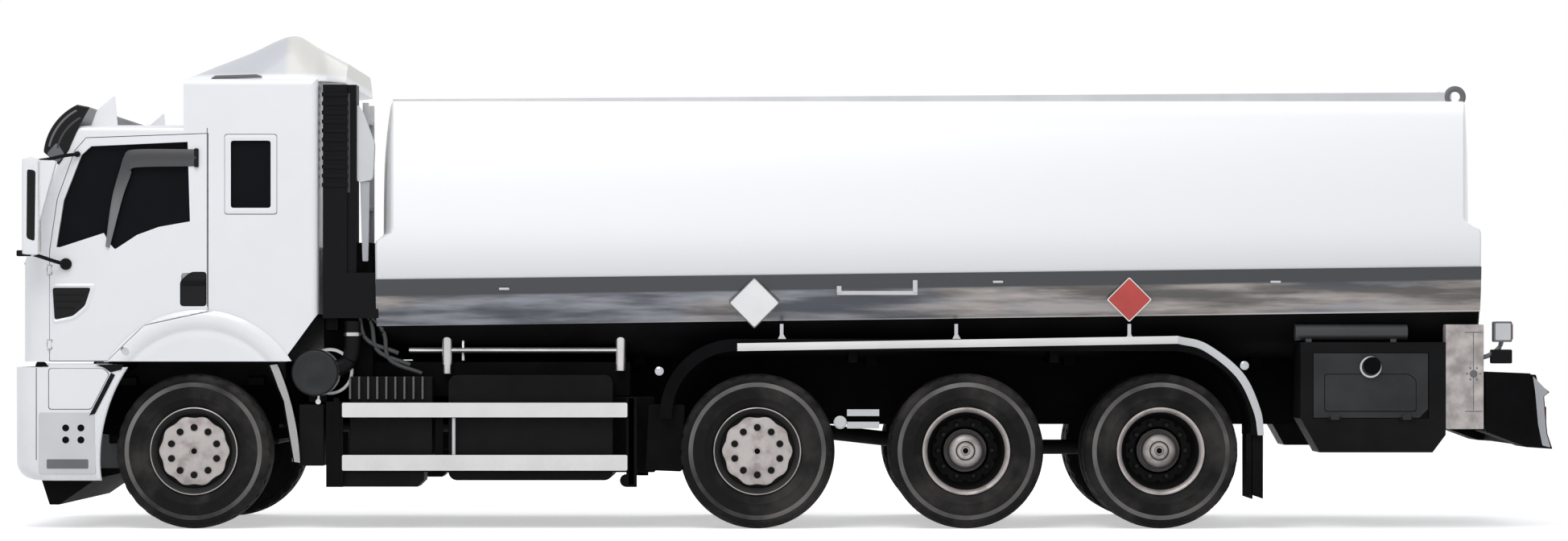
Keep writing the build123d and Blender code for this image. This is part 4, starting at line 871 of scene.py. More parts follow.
def make_single_wheel(axle, side):
    """Forged wheel: barrel with lips, dark well, scalloped disc with bolts."""
    half, x, node = Half(side, f"wheel_{axle}_@"), AXLES[axle], f"rim_{axle}_{side}"
    centre = (x, WHEEL_Y, AXLE_Z)
    barrel = [
        (0.266, -0.117), (0.299, -0.1175), (0.2995, -0.107), (0.285, -0.105), (0.27, -0.085),
        (0.255, -0.02), (0.262, 0.04), (0.285, 0.105), (0.2995, 0.107), (0.2995, 0.1145),
        (0.292, 0.1178), (0.281, 0.112), (0.272, 0.098), (0.262, 0.082), (0.255, 0.07),
        (0.244, 0.03), (0.246, -0.02), (0.256, -0.08),
    ]
    lip = [(0.2925, 0.1165), (0.2995, 0.1145), (0.2998, 0.1165), (0.296, 0.119), (0.2925, 0.1185)]
    well = [
        (0.262, 0.074), (0.25, 0.06), (0.2, 0.056), (0.0, 0.056), (0.0, -0.1),
        (0.09, -0.1), (0.095, 0.03), (0.24, 0.03), (0.258, 0.045),
    ]
    stand_for([
        half.lathe(node + "_barrel", barrel, centre, IRON, 128, True),
        half.lathe(node + "_edge", lip, centre, ALLOY, 128, True),
        half.lathe(node + "_well", well, centre, RIM_DARK, 96, True),
        flower_disc(half, node + "_disc", x, WHEEL_Y + 0.084, ALLOY),
        *wheel_pegs(half, node, x, (
            ("bolts", 0.088, 0.11, 0.024, RIM_DARK, 12, 10, 0.163, math.pi / 10),
            ("slots", 0.05, 0.0605, 0.017, BLACK, 12, 10, 0.2395),
            ("cap", 0.09, 0.1065, 0.02, BLACK, 24),
        )),
    ], node)


def make_twin_wheel(axle, side):
    """Two rims back to back: bright outer lip, dark dish with bolts, domed hub."""
    half, x, node = Half(side, f"wheel_{axle}_@"), AXLES[axle], f"rim_{axle}_{side}"
    centre = (x, WHEEL_Y, AXLE_Z)
    lip = [
        (0.285, -0.105), (0.2995, -0.107), (0.2995, -0.117), (0.268, -0.1178), (0.262, -0.05),
        (0.262, 0.06), (0.268, 0.092), (0.279, 0.11), (0.29, 0.1178), (0.2995, 0.115),
        (0.2995, 0.107), (0.285, 0.105), (0.276, 0.0),
    ]
    dish = [
        (0.264, 0.085), (0.258, 0.06), (0.254, 0.01), (0.246, -0.05), (0.236, -0.085),
        (0.222, -0.105), (0.165, -0.112), (0.15, -0.135), (0.15, -0.36), (0.16, -0.36),
        (0.16, -0.19), (0.262, -0.185), (0.268, -0.11),
    ]
    hub = [
        (0.0, 0.004), (0.026, 0.004), (0.03, -0.003), (0.034, 0.002), (0.075, -0.004), (0.11, -0.018),
        (0.132, -0.045), (0.14, -0.08), (0.146, -0.084), (0.148, -0.115), (0.0, -0.115),
    ]
    stand_for([
        half.lathe(node + "_lip", lip, centre, ALLOY, 128, True),
        half.lathe(node + "_inner", lip, (x, WHEEL_Y - TWIN_GAP, AXLE_Z), RIM_DARK, 96, True),
        half.lathe(node + "_dish", dish, centre, RIM_DARK, 96, True),
        half.lathe(node + "_hub", hub, centre, ALLOY, 96),
        *wheel_pegs(half, node, x, (
            ("bolts", -0.112, -0.072, 0.0165, IRON, 12, 10, 0.185),
            ("ports", -0.109, -0.1, 0.017, BLACK, 12, 10, 0.219, math.pi / 10),
            ("cap", 0.003, 0.0065, 0.02, BLACK, 24),
        )),
    ], node)


for side in SIDES:
    for axle in AXLES:
        (make_twin_wheel if axle in TWINS else make_single_wheel)(axle, side)
print("wheels made")

# %% [markdown]
# The flare over the front wheel is one pressed panel with a fat rounded crest. Its
# outer edge is an arc about a point above the axle, and it runs down to the sill.
# The crest is a half sine over the first 13 cm in from the arc. The door cuts the
# panel in two along its lower edge: one part rides on the cab, one on the door.

# %% Arch flares
ARCH_X, ARCH_Z, ARCH_RADIUS, SILL_Z = -3.986, 0.756, 0.741, 1.146
CREST = 0.135
DOOR_EDGE = [((-3.93, 1.485), (-4.364, 1.391)), ((-4.364, 1.391), (-4.612, 1.15))]


def keep_below(obj, line, gap, above=False):
    """Cut a piece along one stretch of the door's lower edge, moved up by a gap, and close the cut."""
    (x0, z0), (x1, z1) = DOOR_EDGE[line]
    up = np.array([z1 - z0, 0.0, x0 - x1]) / math.hypot(x1 - x0, z1 - z0)
    bm = bmesh.new()
    bm.from_mesh(obj.data)
    bmesh.ops.bisect_plane(
        bm, geom=bm.verts[:] + bm.edges[:] + bm.faces[:], dist=1e-6,
        plane_co=np.array([x0, 0.0, z0]) + gap * up, plane_no=up,
        clear_outer=not above, clear_inner=above,
    )
    bmesh.ops.holes_fill(bm, edges=[e for e in bm.edges if e.is_boundary], sides=0)
    bmesh.ops.recalc_face_normals(bm, faces=bm.faces)
    bm.to_mesh(obj.data)
    bm.free()


def make_flare(side):
    """Points from the arc (v = 0) straight down to the sill (v = 1), raised by how far in they lie."""
    half = Half(side)
    low = math.asin((SILL_Z - ARCH_Z) / ARCH_RADIUS)
    a = np.linspace(low, math.pi - low, 73)
    v = np.linspace(0, 1, 33)[:, None]
    x = ARCH_X + ARCH_RADIUS * np.cos(a) * (1 - 0.12 * v)
    arc_z = ARCH_Z + ARCH_RADIUS * np.sin(a)
    z = arc_z + (SILL_Z - arc_z) * v
    inward = ARCH_RADIUS - np.hypot(x - ARCH_X, z - ARCH_Z)
    crest = np.sin(math.pi * np.clip(inward / CREST, 0, 1)) ** 0.8
    step = np.clip((inward - CREST) / 0.05, 0, 1)
    face = np.stack([x, 1.2502 + 0.024 * crest + 0.007 * step, z], axis=-1)
    back = face[[-1, 0]]
    back[..., 1] = 1.246
    points = half.out(np.concatenate([face, back]))
    faces = closed_rows(points)
    cab = add_mesh(f"arch_flare_{side}", points, faces, WHITE, "cab", 50)
    lips = []
    for line in (0, 1):
        keep_below(cab, line, -0.003)
        lip = add_mesh(f"door_flare_{side}_{line}", points, faces, WHITE, f"cab_door_{side}", 50)
        keep_below(lip, line, 0.002, above=True)
        if line:
            keep_below(lip, 0, 0.002)
        lips.append(lip)
    joined(f"door_flare_{side}", lips)


for side in SIDES:
    make_flare(side)
print("flares made")

# %% [markdown]
# A cab door carries a rain guard over its window, a dark bowl behind the handle, a
# black vent set in a pale rim near its front edge, and a small lamp on the flare.

# %% Door details
def guard_colour(tree):
    """Grey at the rain guard's foot that darkens towards its top."""
    _, parts = object_point(tree)
    return mix_colour(tree, ramp(tree, parts[2], 2.12, 2.5), (0.17, 0.17, 0.172), (0.035, 0.035, 0.038))


RAIN_GUARD = finish(
    "rain_guard_plastic", (0.05, 0.05, 0.053), 0.3, dirt=0.02, shade=0.1, grain=0.2, bump=0.0002,
    coat=0.25, colour_socket=guard_colour,
)
GUARD_TOP = [
    (-4.01, 2.594), (-4.43, 2.592), (-4.497, 2.552), (-4.524, 2.475), (-4.585, 2.25),
    (-4.628, 1.931),
]
GUARD_FOOT = [
    (-4.01, 2.478), (-4.415, 2.47), (-4.45, 2.437), (-4.462, 2.4), (-4.515, 2.25), (-4.6, 1.92),
]


def make_door_details(side):
    """Rain guard, handle bowl and bar, vent and sill strip of one door, and the flare's lamp."""
    door, cab = Half(side, "cab_door_@"), Half(side, "cab")
    upper, lower = (resampled(smooth_path(line, 8), 48) for line in (GUARD_TOP, GUARD_FOOT))
    door.strip("rain_guard_@", upper, lower, 1.2405, 1.2445, RAIN_GUARD, 0.012)
    clip = rounded(rect(-4.022, 2.6, -3.99, 2.47), 0.012)
    door.prism("rain_guard_clip_@", clip, 1.2405, 1.256, SMOKED, 0.003)
    sill = [(-4.966, 1.916), (-4.64, 2.022), (-4.6, 1.948), (-4.56, 1.905)]
    door.prism("quarter_sill_@", sill, 1.222, 1.2402, WHITE, 0.002)
    bowl = rounded([
        (-4.111, 1.529), (-3.946, 1.529), (-3.946, 1.749), (-4.04, 1.749), (-4.111, 1.69),
    ], 0.022)
    door.prism("handle_bowl_@", bowl, 1.238, 1.2404, SMOKED)
    grow = rounded([
        (-4.119, 1.521), (-3.938, 1.521), (-3.938, 1.757), (-4.044, 1.757), (-4.119, 1.695),
    ], 0.026)
    door.ring("handle_rim_@", grow, bowl, 1.214, 1.2405, BLACK_PLASTIC, 0.0012)
    bar_top = rounded([(-4.108, 1.662), (-3.95, 1.662), (-3.95, 1.7), (-4.1, 1.7)], 0.012)
    door.prism("door_handle_@", bar_top, 1.24, 1.254, BLACK_PLASTIC, 0.005)
    vent = rounded([
        (-4.99, 1.648), (-4.728, 1.648), (-4.768, 1.525), (-4.85, 1.455), (-4.976, 1.428),
    ], 0.02)
    rim = rounded([
        (-5.003, 1.676), (-4.69, 1.676), (-4.741, 1.508), (-4.838, 1.425), (-4.99, 1.396),
    ], 0.03)
    door.prism("corner_vent_@", vent, 1.2392, 1.2408, SMOKED)
    door.ring("corner_vent_rim_@", rim, vent, 1.2395, 1.2415, WHITE, 0.007)
    lines = [(-4.975, -4.775, 1.6), (-4.97, -4.8, 1.555), (-4.965, -4.84, 1.51)]
    door.joined("vent_slats_@", [
        door.tube(f"vent_slat_@_{k}", [(x0, 1.2415, z), (x1, 1.2415, z)], 0.004, BLACK_PLASTIC, 8)
        for k, (x0, x1, z) in enumerate(lines)
    ])
    lamp = [(0.0, 0.0), (0.03, 0.0), (0.03, 0.01), (0.022, 0.018), (0.0, 0.021)]
    cab.lathe("flare_lamp_@", lamp, (-4.487, 1.258, 1.212), CLEAR_LENS, 32)
    ring = [(0.029, 0.0), (0.038, 0.0), (0.038, 0.01), (0.03, 0.014)]
    cab.lathe("flare_lamp_ring_@", ring, (-4.487, 1.256, 1.212), GREY_PLASTIC, 32, True)


for side in SIDES:
    make_door_details(side)
print("door details made")

# %% [markdown]
# Each mirror is a tall white housing with a dark side strip, a wedge-shaped fairing
# at its top, a mirror glass that faces backwards, and two arms with round feet.
# The housing is a superellipse in plan, |u|^4 + |v|^4 = 1, closed at both ends.

# %% Mirrors
MIRROR_X, MIRROR_Y, MIRROR_LOW, MIRROR_HIGH = -5.104, 1.425, 1.858, 2.536


def make_mirror(side):
    """One mirror in place of its CAD solid, all of it riding on the door."""
    door = Half(side, "cab_door_@")
    middle = (MIRROR_LOW + MIRROR_HIGH) / 2
    w = np.linspace(-1, 1, 41)[:, None]
    a = np.linspace(0, 2 * math.pi, 48, endpoint=False)[None, :]
    shrink = (1 - np.abs(w) ** 10) ** 0.2
    u, v = (np.sign(f(a)) * np.abs(f(a)) ** 0.5 for f in (np.cos, np.sin))
    x = MIRROR_X + 0.06 * u * (0.75 + 0.25 * shrink) * np.sign(shrink)
    y = MIRROR_Y + 0.043 * v * (0.6 + 0.4 * shrink)
    z = middle + w * (MIRROR_HIGH - MIRROR_LOW) / 2
    x[[0, -1]], y[[0, -1]] = MIRROR_X, MIRROR_Y
    points = door.out(np.stack([x, y, z + 0 * a], axis=-1))
    faces = grid_faces(41, 48, close_cols=True)
    strip = rounded([(-5.128, 1.98), (-5.072, 1.96), (-5.066, 2.44), (-5.124, 2.45)], 0.02)
    wedge = rounded([(-5.06, 2.512), (-4.93, 2.508), (-4.945, 2.455), (-5.06, 2.04)], 0.015)
    foot = [(0.0, 0.0), (0.04, 0.0), (0.04, 0.016), (0.03, 0.028), (0.0, 0.031)]
    top_foot = [(0.0, 0.0), (0.02, 0.0), (0.02, 0.02), (0.0, 0.026)]
    low_arm = [
        (-4.898, 1.262, 1.809), (-4.96, 1.3, 1.826), (-5.06, 1.385, 1.862), (-5.135, 1.425, 1.885),
    ]
    top_arm = [(-4.818, 1.255, 2.56), (-4.9, 1.32, 2.545), (-4.99, 1.395, 2.52), (-5.12, 1.425, 2.5)]
    stand_for([
        add_mesh(f"mirror_housing_{side}", points, faces, WHITE, door.body, 40),
        door.prism("mirror_strip_@", strip, 1.455, 1.4695, SMOKED, 0.002),
        door.prism("mirror_fairing_@", wedge, 1.385, 1.452, WHITE, 0.008),
        door.slab("mirror_glass_@", (-5.0465, 1.392, 1.93), (-5.0405, 1.458, 2.03), STEEL, 0.002),
        door.slab("mirror_main_glass_@", (-5.049, 1.388, 1.89), (-5.0415, 1.462, 2.5), STEEL, 0.004),
        door.slab("mirror_knuckle_@", (-5.2, 1.4, 1.859), (-5.1, 1.452, 1.9), BLACK_PLASTIC, 0.008),
        door.lathe("mirror_foot_@", foot, (-4.898, 1.2402, 1.809), BLACK_PLASTIC, 40),
        door.lathe("mirror_top_foot_@", top_foot, (-4.818, 1.2402, 2.56), BLACK_PLASTIC, 24),
        door.tube("mirror_low_arm_@", smooth_path(low_arm), 0.013, BLACK_PLASTIC),
        door.tube("mirror_top_arm_@", smooth_path(top_arm), 0.012, BLACK_PLASTIC),
    ], f"mirror_{side}")


for side in SIDES:
    make_mirror(side)
print("mirrors made")

# %% [markdown]
# The front of the cab: two wipers parked across the windscreen, a black cowl under
# it, two bright bars on the grille, and a blank number plate. The screen leans back,
# so its pieces are placed by a distance up the slope and a distance out from it.

# %% Front of the cab
SLOPE_FOOT, SLOPE_TOP = np.array([-5.2, 1.798]), np.array([-4.865, 2.745])
SLOPE_UP = (SLOPE_TOP - SLOPE_FOOT) / np.linalg.norm(SLOPE_TOP - SLOPE_FOOT)
SLOPE_OUT = np.array([-SLOPE_UP[1], SLOPE_UP[0]])


def on_screen(y, up, out):
    """Point at a height up the windscreen's slope and a distance out from it."""
    x, z = SLOPE_FOOT + SLOPE_UP * up + SLOPE_OUT * out
    return (x, y, z)


def make_front():
    """Wipers, cowl, plate and bright bars of the cab front."""
    hub = [(0.0, -0.03), (0.026, -0.03), (0.026, 0.0), (0.0, 0.0)]
    for number, y in enumerate((-0.62, 0.3)):
        arm = [on_screen(y, 0.03, 0.012), on_screen(y - 0.1, 0.1, 0.045), on_screen(y - 0.32, 0.32, 0.03)]
        tube(f"wiper_arm_{number}", smooth_path(arm), 0.008, BLACK_PLASTIC, "cab", 10)
        steps = np.linspace(-0.28, 0.42, 15)
        blade = [on_screen(y - 0.32 + d, 0.32 - 0.16 * d / 0.4, 0.016) for d in steps]
        tube(f"wiper_blade_{number}", blade, 0.007, RUBBER_SHEET, "cab", 8)
        lathe(f"wiper_hub_{number}", hub, (-5.198, y, 1.822), BLACK_PLASTIC, "cab", 24, axis="x")
    section = [(0.004, 0.004), (0.052, 0.004), (0.052, 0.012), (0.01, 0.016)]
    rows = np.array([[on_screen(y, up, out) for y in np.linspace(-1.08, 1.08, 25)] for up, out in section])
    add_mesh("screen_cowl", rows, closed_rows(rows), BLACK_PLASTIC, "cab")
    slab("front_number_plate", (-5.2205, -0.26, 1.6), (-5.2165, 0.26, 1.71), WHITE_PLATE, "cab", 0.0015)
    for k, z in enumerate((1.575, 1.735)):
        low, high = (-5.221, -0.86, z), (-5.2155, 0.86, z + 0.014)
        slab(f"grille_bright_bar_{k}", low, high, LIGHT_GREY, "cab", 0.002)


make_front()
print("front made")

# %% [markdown]
# The lamps: a clear lens over two bright bowls in each bumper pocket, and at the tail
# a grey lamp housing above a black one, on an arm from the locker.

# %% Lamps
# Name, box in X and Z, corner radius, inner and outer Y, material, bevel.
LAMP_BOXES = (
    ("marker_housing_@", (4.859, 1.277, 4.985, 1.418), 0.012, 1.151, 1.2345, GREY_PLASTIC, 0.004),
    ("marker_rim_@", (4.87, 1.29, 4.974, 1.405), 0.01, 1.234, 1.2375, LIGHT_GREY, 0.001),
    ("lamp_box_@", (4.845, 1.13, 4.985, 1.226), 0.012, 1.151, 1.2345, BLACK_PLASTIC, 0.004),
)


def make_lamps(side):
    """Head lamp and tail stalk of one side, in place of their share of the lamps node."""
    half = Half(side)
    bowl = [
        (0.0, 0.03), (0.03, 0.022), (0.052, -0.005), (0.06, -0.04), (0.064, -0.04), (0.064, 0.034),
        (0.0, 0.034),
    ]
    edge = rounded(rect(0.7615, 0.8015, 1.0385, 0.9585), 0.02)
    lens = half.out([[(x, y, z) for y, z in edge] for x in (-5.2595, -5.2555)])
    arm = [(4.785, 1.195, 1.17), (4.84, 1.195, 1.19), (4.9, 1.195, 1.235), (4.921, 1.195, 1.29)]
    bowls = [
        lathe(
            f"headlamp_bowl_{side}_{k}", bowl, half.out((-5.215, y, 0.88)), CLEAR_LENS, "chassis", 40,
            axis="x",
        )
        for k, y in enumerate((0.83, 0.965))
    ]
    stand_for([
        *bowls,
        half.slab(
            "headlamp_back_@", (-5.182, 0.7603, 0.8003), (-5.176, 1.0397, 0.9597), BLACK_PLASTIC, 0.001
        ),
        add_mesh(f"headlamp_lens_{side}", lens, capped_columns(lens), GLASS_CLEAR, "chassis"),
        *(half.prism(name, rounded(rect(*box), r), *rest) for name, box, r, *rest in LAMP_BOXES),
        half.tube("lamp_arm_@", smooth_path(arm, 6), 0.016, GREY_PLASTIC),
        half.slab("marker_lens_@", (4.9845, 1.165, 1.295), (4.992, 1.225, 1.4), RED_LENS, 0.003),
    ], "lamps")


for side in SIDES:
    make_lamps(side)
print("lamps made")

# %% [markdown]
# Behind the cab: a ribbed air intake with a grey duct beside it, a pale cover plate,
# and a round air filter with a bright clamp band.

# %% Behind the cab
FILTER_X, FILTER_Z = -3.198, 1.067


def make_behind_cab():
    """Duct, cover plate, clamp bands and drain of the driver's side, and both flaps' trims."""
    near = Half("left")
    near.slab("intake_duct", (-3.005, 1.158, 2.3), (-2.965, 1.148, 2.98), PIPE_GREY, 0.004)
    cover = [(-2.922, 2.915), (-2.885, 2.86), (-2.8, 2.64), (-2.812, 2.39), (-2.922, 2.37)]
    near.prism("intake_cover", rounded(cover, 0.03), 1.13, 1.06, LIGHT_GREY, 0.008)
    strip = [(-2.9, 2.38), (-2.835, 2.38), (-2.845, 1.83), (-2.885, 1.83)]
    near.prism("cover_strip", rounded(strip, 0.01), 1.12, 1.09, GREY_STEP, 0.004)
    band = [(0.1505, 0.0), (0.1585, 0.0), (0.1615, 0.01), (0.1585, 0.03), (0.1505, 0.03)]
    for number, y in enumerate((-1.205, -1.08)):
        lathe(f"filter_band_{number}", band, (FILTER_X, y, FILTER_Z), STEEL, "chassis", 64, True)
    lid = [
        (0.0, -0.004), (0.06, -0.004), (0.066, -0.001), (0.118, -0.001), (0.124, -0.005),
        (0.146, -0.005),
        (0.152, 0.0), (0.0, 0.0),
    ]
    lathe("filter_lid", lid, (FILTER_X, -1.2402, FILTER_Z), DOOR_GREY, "chassis", 64)
    clamp = [(0.14, 0.0), (0.158, 0.0), (0.161, 0.012), (0.158, 0.05), (0.14, 0.05)]
    lathe("filter_clamp", clamp, (-3.105, -1.15, 1.075), LIGHT_GREY, "chassis", 64, True)
    elbow = [(-3.08, 1.14, 1.09), (-2.99, 1.14, 1.13), (-2.955, 1.14, 1.22), (-2.95, 1.14, 1.42)]
    near.tube("filter_pipe", smooth_path(elbow), 0.055, BLACK_PLASTIC, 24)
    ring = [(0.0545, -0.012), (0.0605, -0.012), (0.0605, 0.012), (0.0545, 0.012)]
    lathe("filter_pipe_clamp", ring, (-2.95, -1.14, 1.33), STEEL, "chassis", 40, True, axis="z")
    knob = [(0.0, 0.0), (0.014, 0.0), (0.018, 0.012), (0.018, 0.03), (0.0, 0.036)]
    near.lathe("filter_drain", knob, (-3.176, 1.2, 0.869), STEEL, 20)
    near.tube("filter_drain_pipe", [(-3.176, 1.205, 0.925), (-3.176, 1.205, 0.869)], 0.009, STEEL, 10)
    front = arc_through((-3.505, 1.118), (-3.418, 0.869), (-3.352, 0.46))
    rear = arc_through((-3.455, 1.125), (-3.365, 0.869), (-3.3, 0.452))
    for side in SIDES:
        Half(side).strip("front_flap_trim_@", front, rear, 1.222, 1.2395, GUARD_GREY)


make_behind_cab()
print("filter and intake dressed")

# %% [markdown]
# The barrel is one closed grid. Its section is a smooth curve through chosen points,
# with a shallow trough between the top rails. Each end is a dish, and the end's
# distance from the middle changes with height as 1 / (1 + e^-t).

# %% Barrel
HALF_SECTION = [
    (0.0, 2.888), (0.25, 2.888), (0.49, 2.889), (0.512, 2.95), (0.56, 2.96), (0.76, 2.938),
    (0.95, 2.87),
    (1.08, 2.76), (1.155, 2.6), (1.205, 2.4), (1.233, 2.18), (1.24, 2.02), (1.232, 1.85), (1.205, 1.64),
    (1.16, 1.47), (1.085, 1.33), (0.96, 1.24), (0.7, 1.18), (0.35, 1.156), (0.0, 1.15),
]
HALF_CURVE = smooth_path(HALF_SECTION, 6)
SIDE_CURVE = HALF_CURVE[(HALF_CURVE[:, 1] < 2.3) & (HALF_CURVE[:, 0] > 1.1)][::-1]
TANK_MIDDLE, TANK_FRONT, TANK_REAR = 2.02, -2.673, 4.661
DISH, RIM_TURN = 0.012, 0.014
BAND_FRONT, BAND_REAR = -2.785, 4.775


def side_y(z):
    """Half width of the barrel at a height below its widest point."""
    return np.interp(z, SIDE_CURVE[:, 1], SIDE_CURVE[:, 0])


def blend(z, middle, width):
    """Smooth step from nought to one as z falls through a height."""
    return 1 / (1 + np.exp((z - middle) / width))


def make_barrel():
    """Closed barrel of dish, rounded rim, straight wall, rim and dish, black under the sheet as painted
    shade.
    """
    loop = np.vstack([HALF_CURVE, HALF_CURVE[1:-1][::-1] * [-1, 1]])
    middle = np.array([0.0, TANK_MIDDLE])
    y, z = loop.T
    taper = np.clip(1.24 - np.abs(y), 0, 0.68)
    front = TANK_FRONT - np.maximum(0.0925 * taper, 0.115 * blend(z, 1.995, 0.01))
    rear = TANK_REAR + np.maximum(0.1605 * taper, 0.116 * blend(z, 2.075, 0.012))
    shares = [0.0, 0.2, 0.4, *np.linspace(0.5, 0.96, 47), 0.975, 0.992, 1.0]
    ends = []
    for edge, out, pole, limit in ((front, -1, -2.8, -2.806), (rear, 1, 4.78, 4.79)):
        rows = []
        for share in shares:
            x = edge + out * (DISH * (1 - share ** 2) - RIM_TURN * max(0.0, (share - 0.975) / 0.025) ** 2)
            x = x * share ** 3 + (1 - share ** 3) * pole
            x = out * np.minimum(out * x, out * limit)
            rows.append(np.column_stack([x, middle + (loop - middle) * share]))
        ends.append(rows)
    wall = [
        np.column_stack([(front + RIM_TURN) * (1 - share) + (rear - RIM_TURN) * share, loop])
        for share in np.linspace(0.02, 0.98, 25)
    ]
    rows = ends[0] + wall + ends[1][::-1]
    faces = grid_faces(len(rows), len(loop), close_cols=True)
    barrel = add_mesh("tank_barrel", np.array(rows), faces, TANK_WHITE, "chassis", 40)
    # painted shade: the barrel below the polished sheet is black
    two_tone(barrel.data, BLACK, lambda x, y, z: z < 1.435 + 0.0132 * (x - BAND_FRONT))
    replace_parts(barrel, "tank_shell")


def make_band(side):
    """Polished sheet 8 mm off the barrel, its edges climbing to the tail, with brackets and placards."""
    half = Half(side)
    x = np.linspace(BAND_FRONT, BAND_REAR, 61)[None, :]
    share = (x - BAND_FRONT) / (BAND_REAR - BAND_FRONT)
    low, high = 1.386 + 0.1 * share, 1.705 + 0.088 * share
    z = low + (high - low) * np.linspace(0, 1, 15)[:, None]
    face = np.stack([x + 0 * z, side_y(z) + 0.008, z], axis=-1)
    back = face[::-1] - [0, 0.006, 0]
    points = half.out(np.concatenate([face, back]))
    band = add_mesh(f"polished_band_{side}", points, closed_rows(points), POLISHED, "chassis", 40)
    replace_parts(band, "tank_bands")
    brackets = [half.slab("band_bracket_@", (0.371, 1.19, 1.598), (0.921, 1.228, 1.626), LIGHT_GREY, 0.004)]
    for k, x in enumerate((0.385, 0.905)):
        low, high = (x - 0.016, 1.2, 1.612), (x + 0.016, 1.232, 1.66 + 0.04 * k)
        brackets.append(half.slab(f"band_leg_@_{k}", low, high, LIGHT_GREY, 0.004))
    for k, (x, z) in enumerate(((1.471, 1.688), (3.369, 1.688), (-1.905, 1.64))):
        low, high = (x - 0.035, 1.206, z - 0.008), (x + 0.035, 1.236, z + 0.008)
        brackets.append(half.slab(f"band_clip_@_{k}", low, high, LIGHT_GREY))
    half.joined("band_brackets_@", brackets)
    placards = (
        ("white", -0.195, 1.545, 0.177, WHITE_PLATE, GREY_PLASTIC),
        ("red", 2.368, 1.567, 0.154, RED_PLATE, WHITE_PLATE),
    )
    for name, x, z, r, colour, edge in placards:
        outline = rounded([(x - r, z), (x, z - r), (x + r, z), (x, z + r)], 0.012)
        inside = (outline - [x, z]) * 0.94 + [x, z]
        half.prism(f"{name}_placard_@", inside, 1.231, 1.235, colour)
        half.ring(f"{name}_placard_edge_@", outline, inside, 1.23, 1.2365, edge, 0.001)
        low, high = (x - 0.03, side_y(z) - 0.01, z - 0.03), (x + 0.03, 1.2312, z + 0.03)
        half.slab(f"{name}_placard_arm_@", low, high, BLACK, 0.002)


def make_top_rails():
    """Two rails on the barrel's shoulders, which rise to the tail and end in a ring."""
    line = [(-2.728, 2.9), (4.68, 2.9), (4.68, 3.024), (4.3, 3.022), (-2.728, 2.976)]
    a = np.linspace(0, 2 * math.pi, 40, endpoint=False)[:, None]
    b = np.linspace(0, 2 * math.pi, 16, endpoint=False)[None, :]
    r = 0.056 + 0.021 * np.cos(b)
    across = 0.527 + 0.021 * np.sin(b) + 0 * a
    ring = np.stack([4.705 + r * np.cos(a), across, 2.992 + r * np.sin(a)], axis=-1)
    for side in SIDES:
        half = Half(side)
        half.prism("top_rail_@", line, 0.5165, 0.5375, LIGHT_GREY, 0.003)
        faces = grid_faces(40, 16, True, True)
        add_mesh(f"top_ring_{side}", half.out(ring), faces, GREY_PLASTIC, "chassis")


make_barrel()
make_top_rails()
for side in SIDES:
    make_band(side)
print("barrel made")

# %% [markdown]
# The bumper is a sheet wrapped round three sides. Its columns follow the plan from
# one wheel arch to the other, its rows climb from a rounded toe, and its rear edge
# is an arc about the wheel. The quads in the two lamp pockets are left out.

# %% Bumper
BUMPER_FRONT, CORNER_RADIUS, TOE, TOE_TOP = -5.2645, 0.18, 0.13, 0.46
POCKET = (0.8, 0.96)


def arch_edge(z):
    """X of the bumper's rear edge at a height, on a circle round the front wheel."""
    return -3.515 - np.sqrt(1.151 ** 2 - (z - 0.472) ** 2)


def bumper_sheet(inset):
    """Grid of the bumper's outer (inset 0) or inner surface: rows in Z, columns round the plan."""
    levels = [np.linspace(TOE_TOP - TOE, TOE_TOP, 9), np.linspace(TOE_TOP, 1.105, 14), POCKET]
    z = np.unique(np.concatenate(levels))[:, None]
    q = np.clip((TOE_TOP - z) / TOE, 0, 0.995)
    toe = 1 - np.sqrt(1 - q ** 2)
    x_front, wide = BUMPER_FRONT + inset + TOE * toe, 1.24 - inset - 0.02 * toe
    r = CORNER_RADIUS - inset
    a = np.linspace(0, math.pi / 2, 10)[None, :]
    side_x = x_front + r + (arch_edge(z) - x_front - r) * np.linspace(1, 0, 8, endpoint=False)[None, :]
    left_x = np.hstack([side_x, x_front + r - r * np.sin(a)])
    left_y = np.hstack([-wide + 0 * side_x, -wide + r - r * np.cos(a)])
    ys = np.concatenate([[-1.04, -0.9, -0.76], np.linspace(-0.6, 0.6, 7), [0.76, 0.9, 1.04]])[None, :]
    x = np.hstack([left_x, x_front + 0 * ys, left_x[:, ::-1]])
    y = np.hstack([left_y, ys + 0 * z, -left_y[:, ::-1]])
    return np.stack([x, y, z + 0 * x], axis=-1)


def make_bumper():
    """Outer and inner sheets joined at their edges and round both pockets, with beam and valance."""
    outer, inner = bumper_sheet(0.0), bumper_sheet(0.026)
    r0, r1 = (int(np.argmin(np.abs(outer[:, 0, 2] - z))) for z in POCKET)
    pockets = [(r0, r1, column, column + 2) for column in (18, 28)]
    valance = [(-5.095, 0.345), (-5.035, 0.16), (-4.97, 0.16), (-4.7, 0.345)]
    stand_for([
        shell_between("bumper_wrap", outer, inner, WHITE, "chassis", 50, pockets),
        prism("bumper_valance", valance, -1.1, 1.1, BLACK, "chassis", 0.006),
        slab("bumper_beam", (-5.2, -0.44, 0.7), (-5.085, 0.44, 0.95), BLACK, "chassis", 0.006),
    ], "front_bumper")
    slab("bumper_air_slot", (-5.2647, -0.62, 0.52), (-5.25, 0.62, 0.66), BLACK_PLASTIC, "chassis", 0.004)


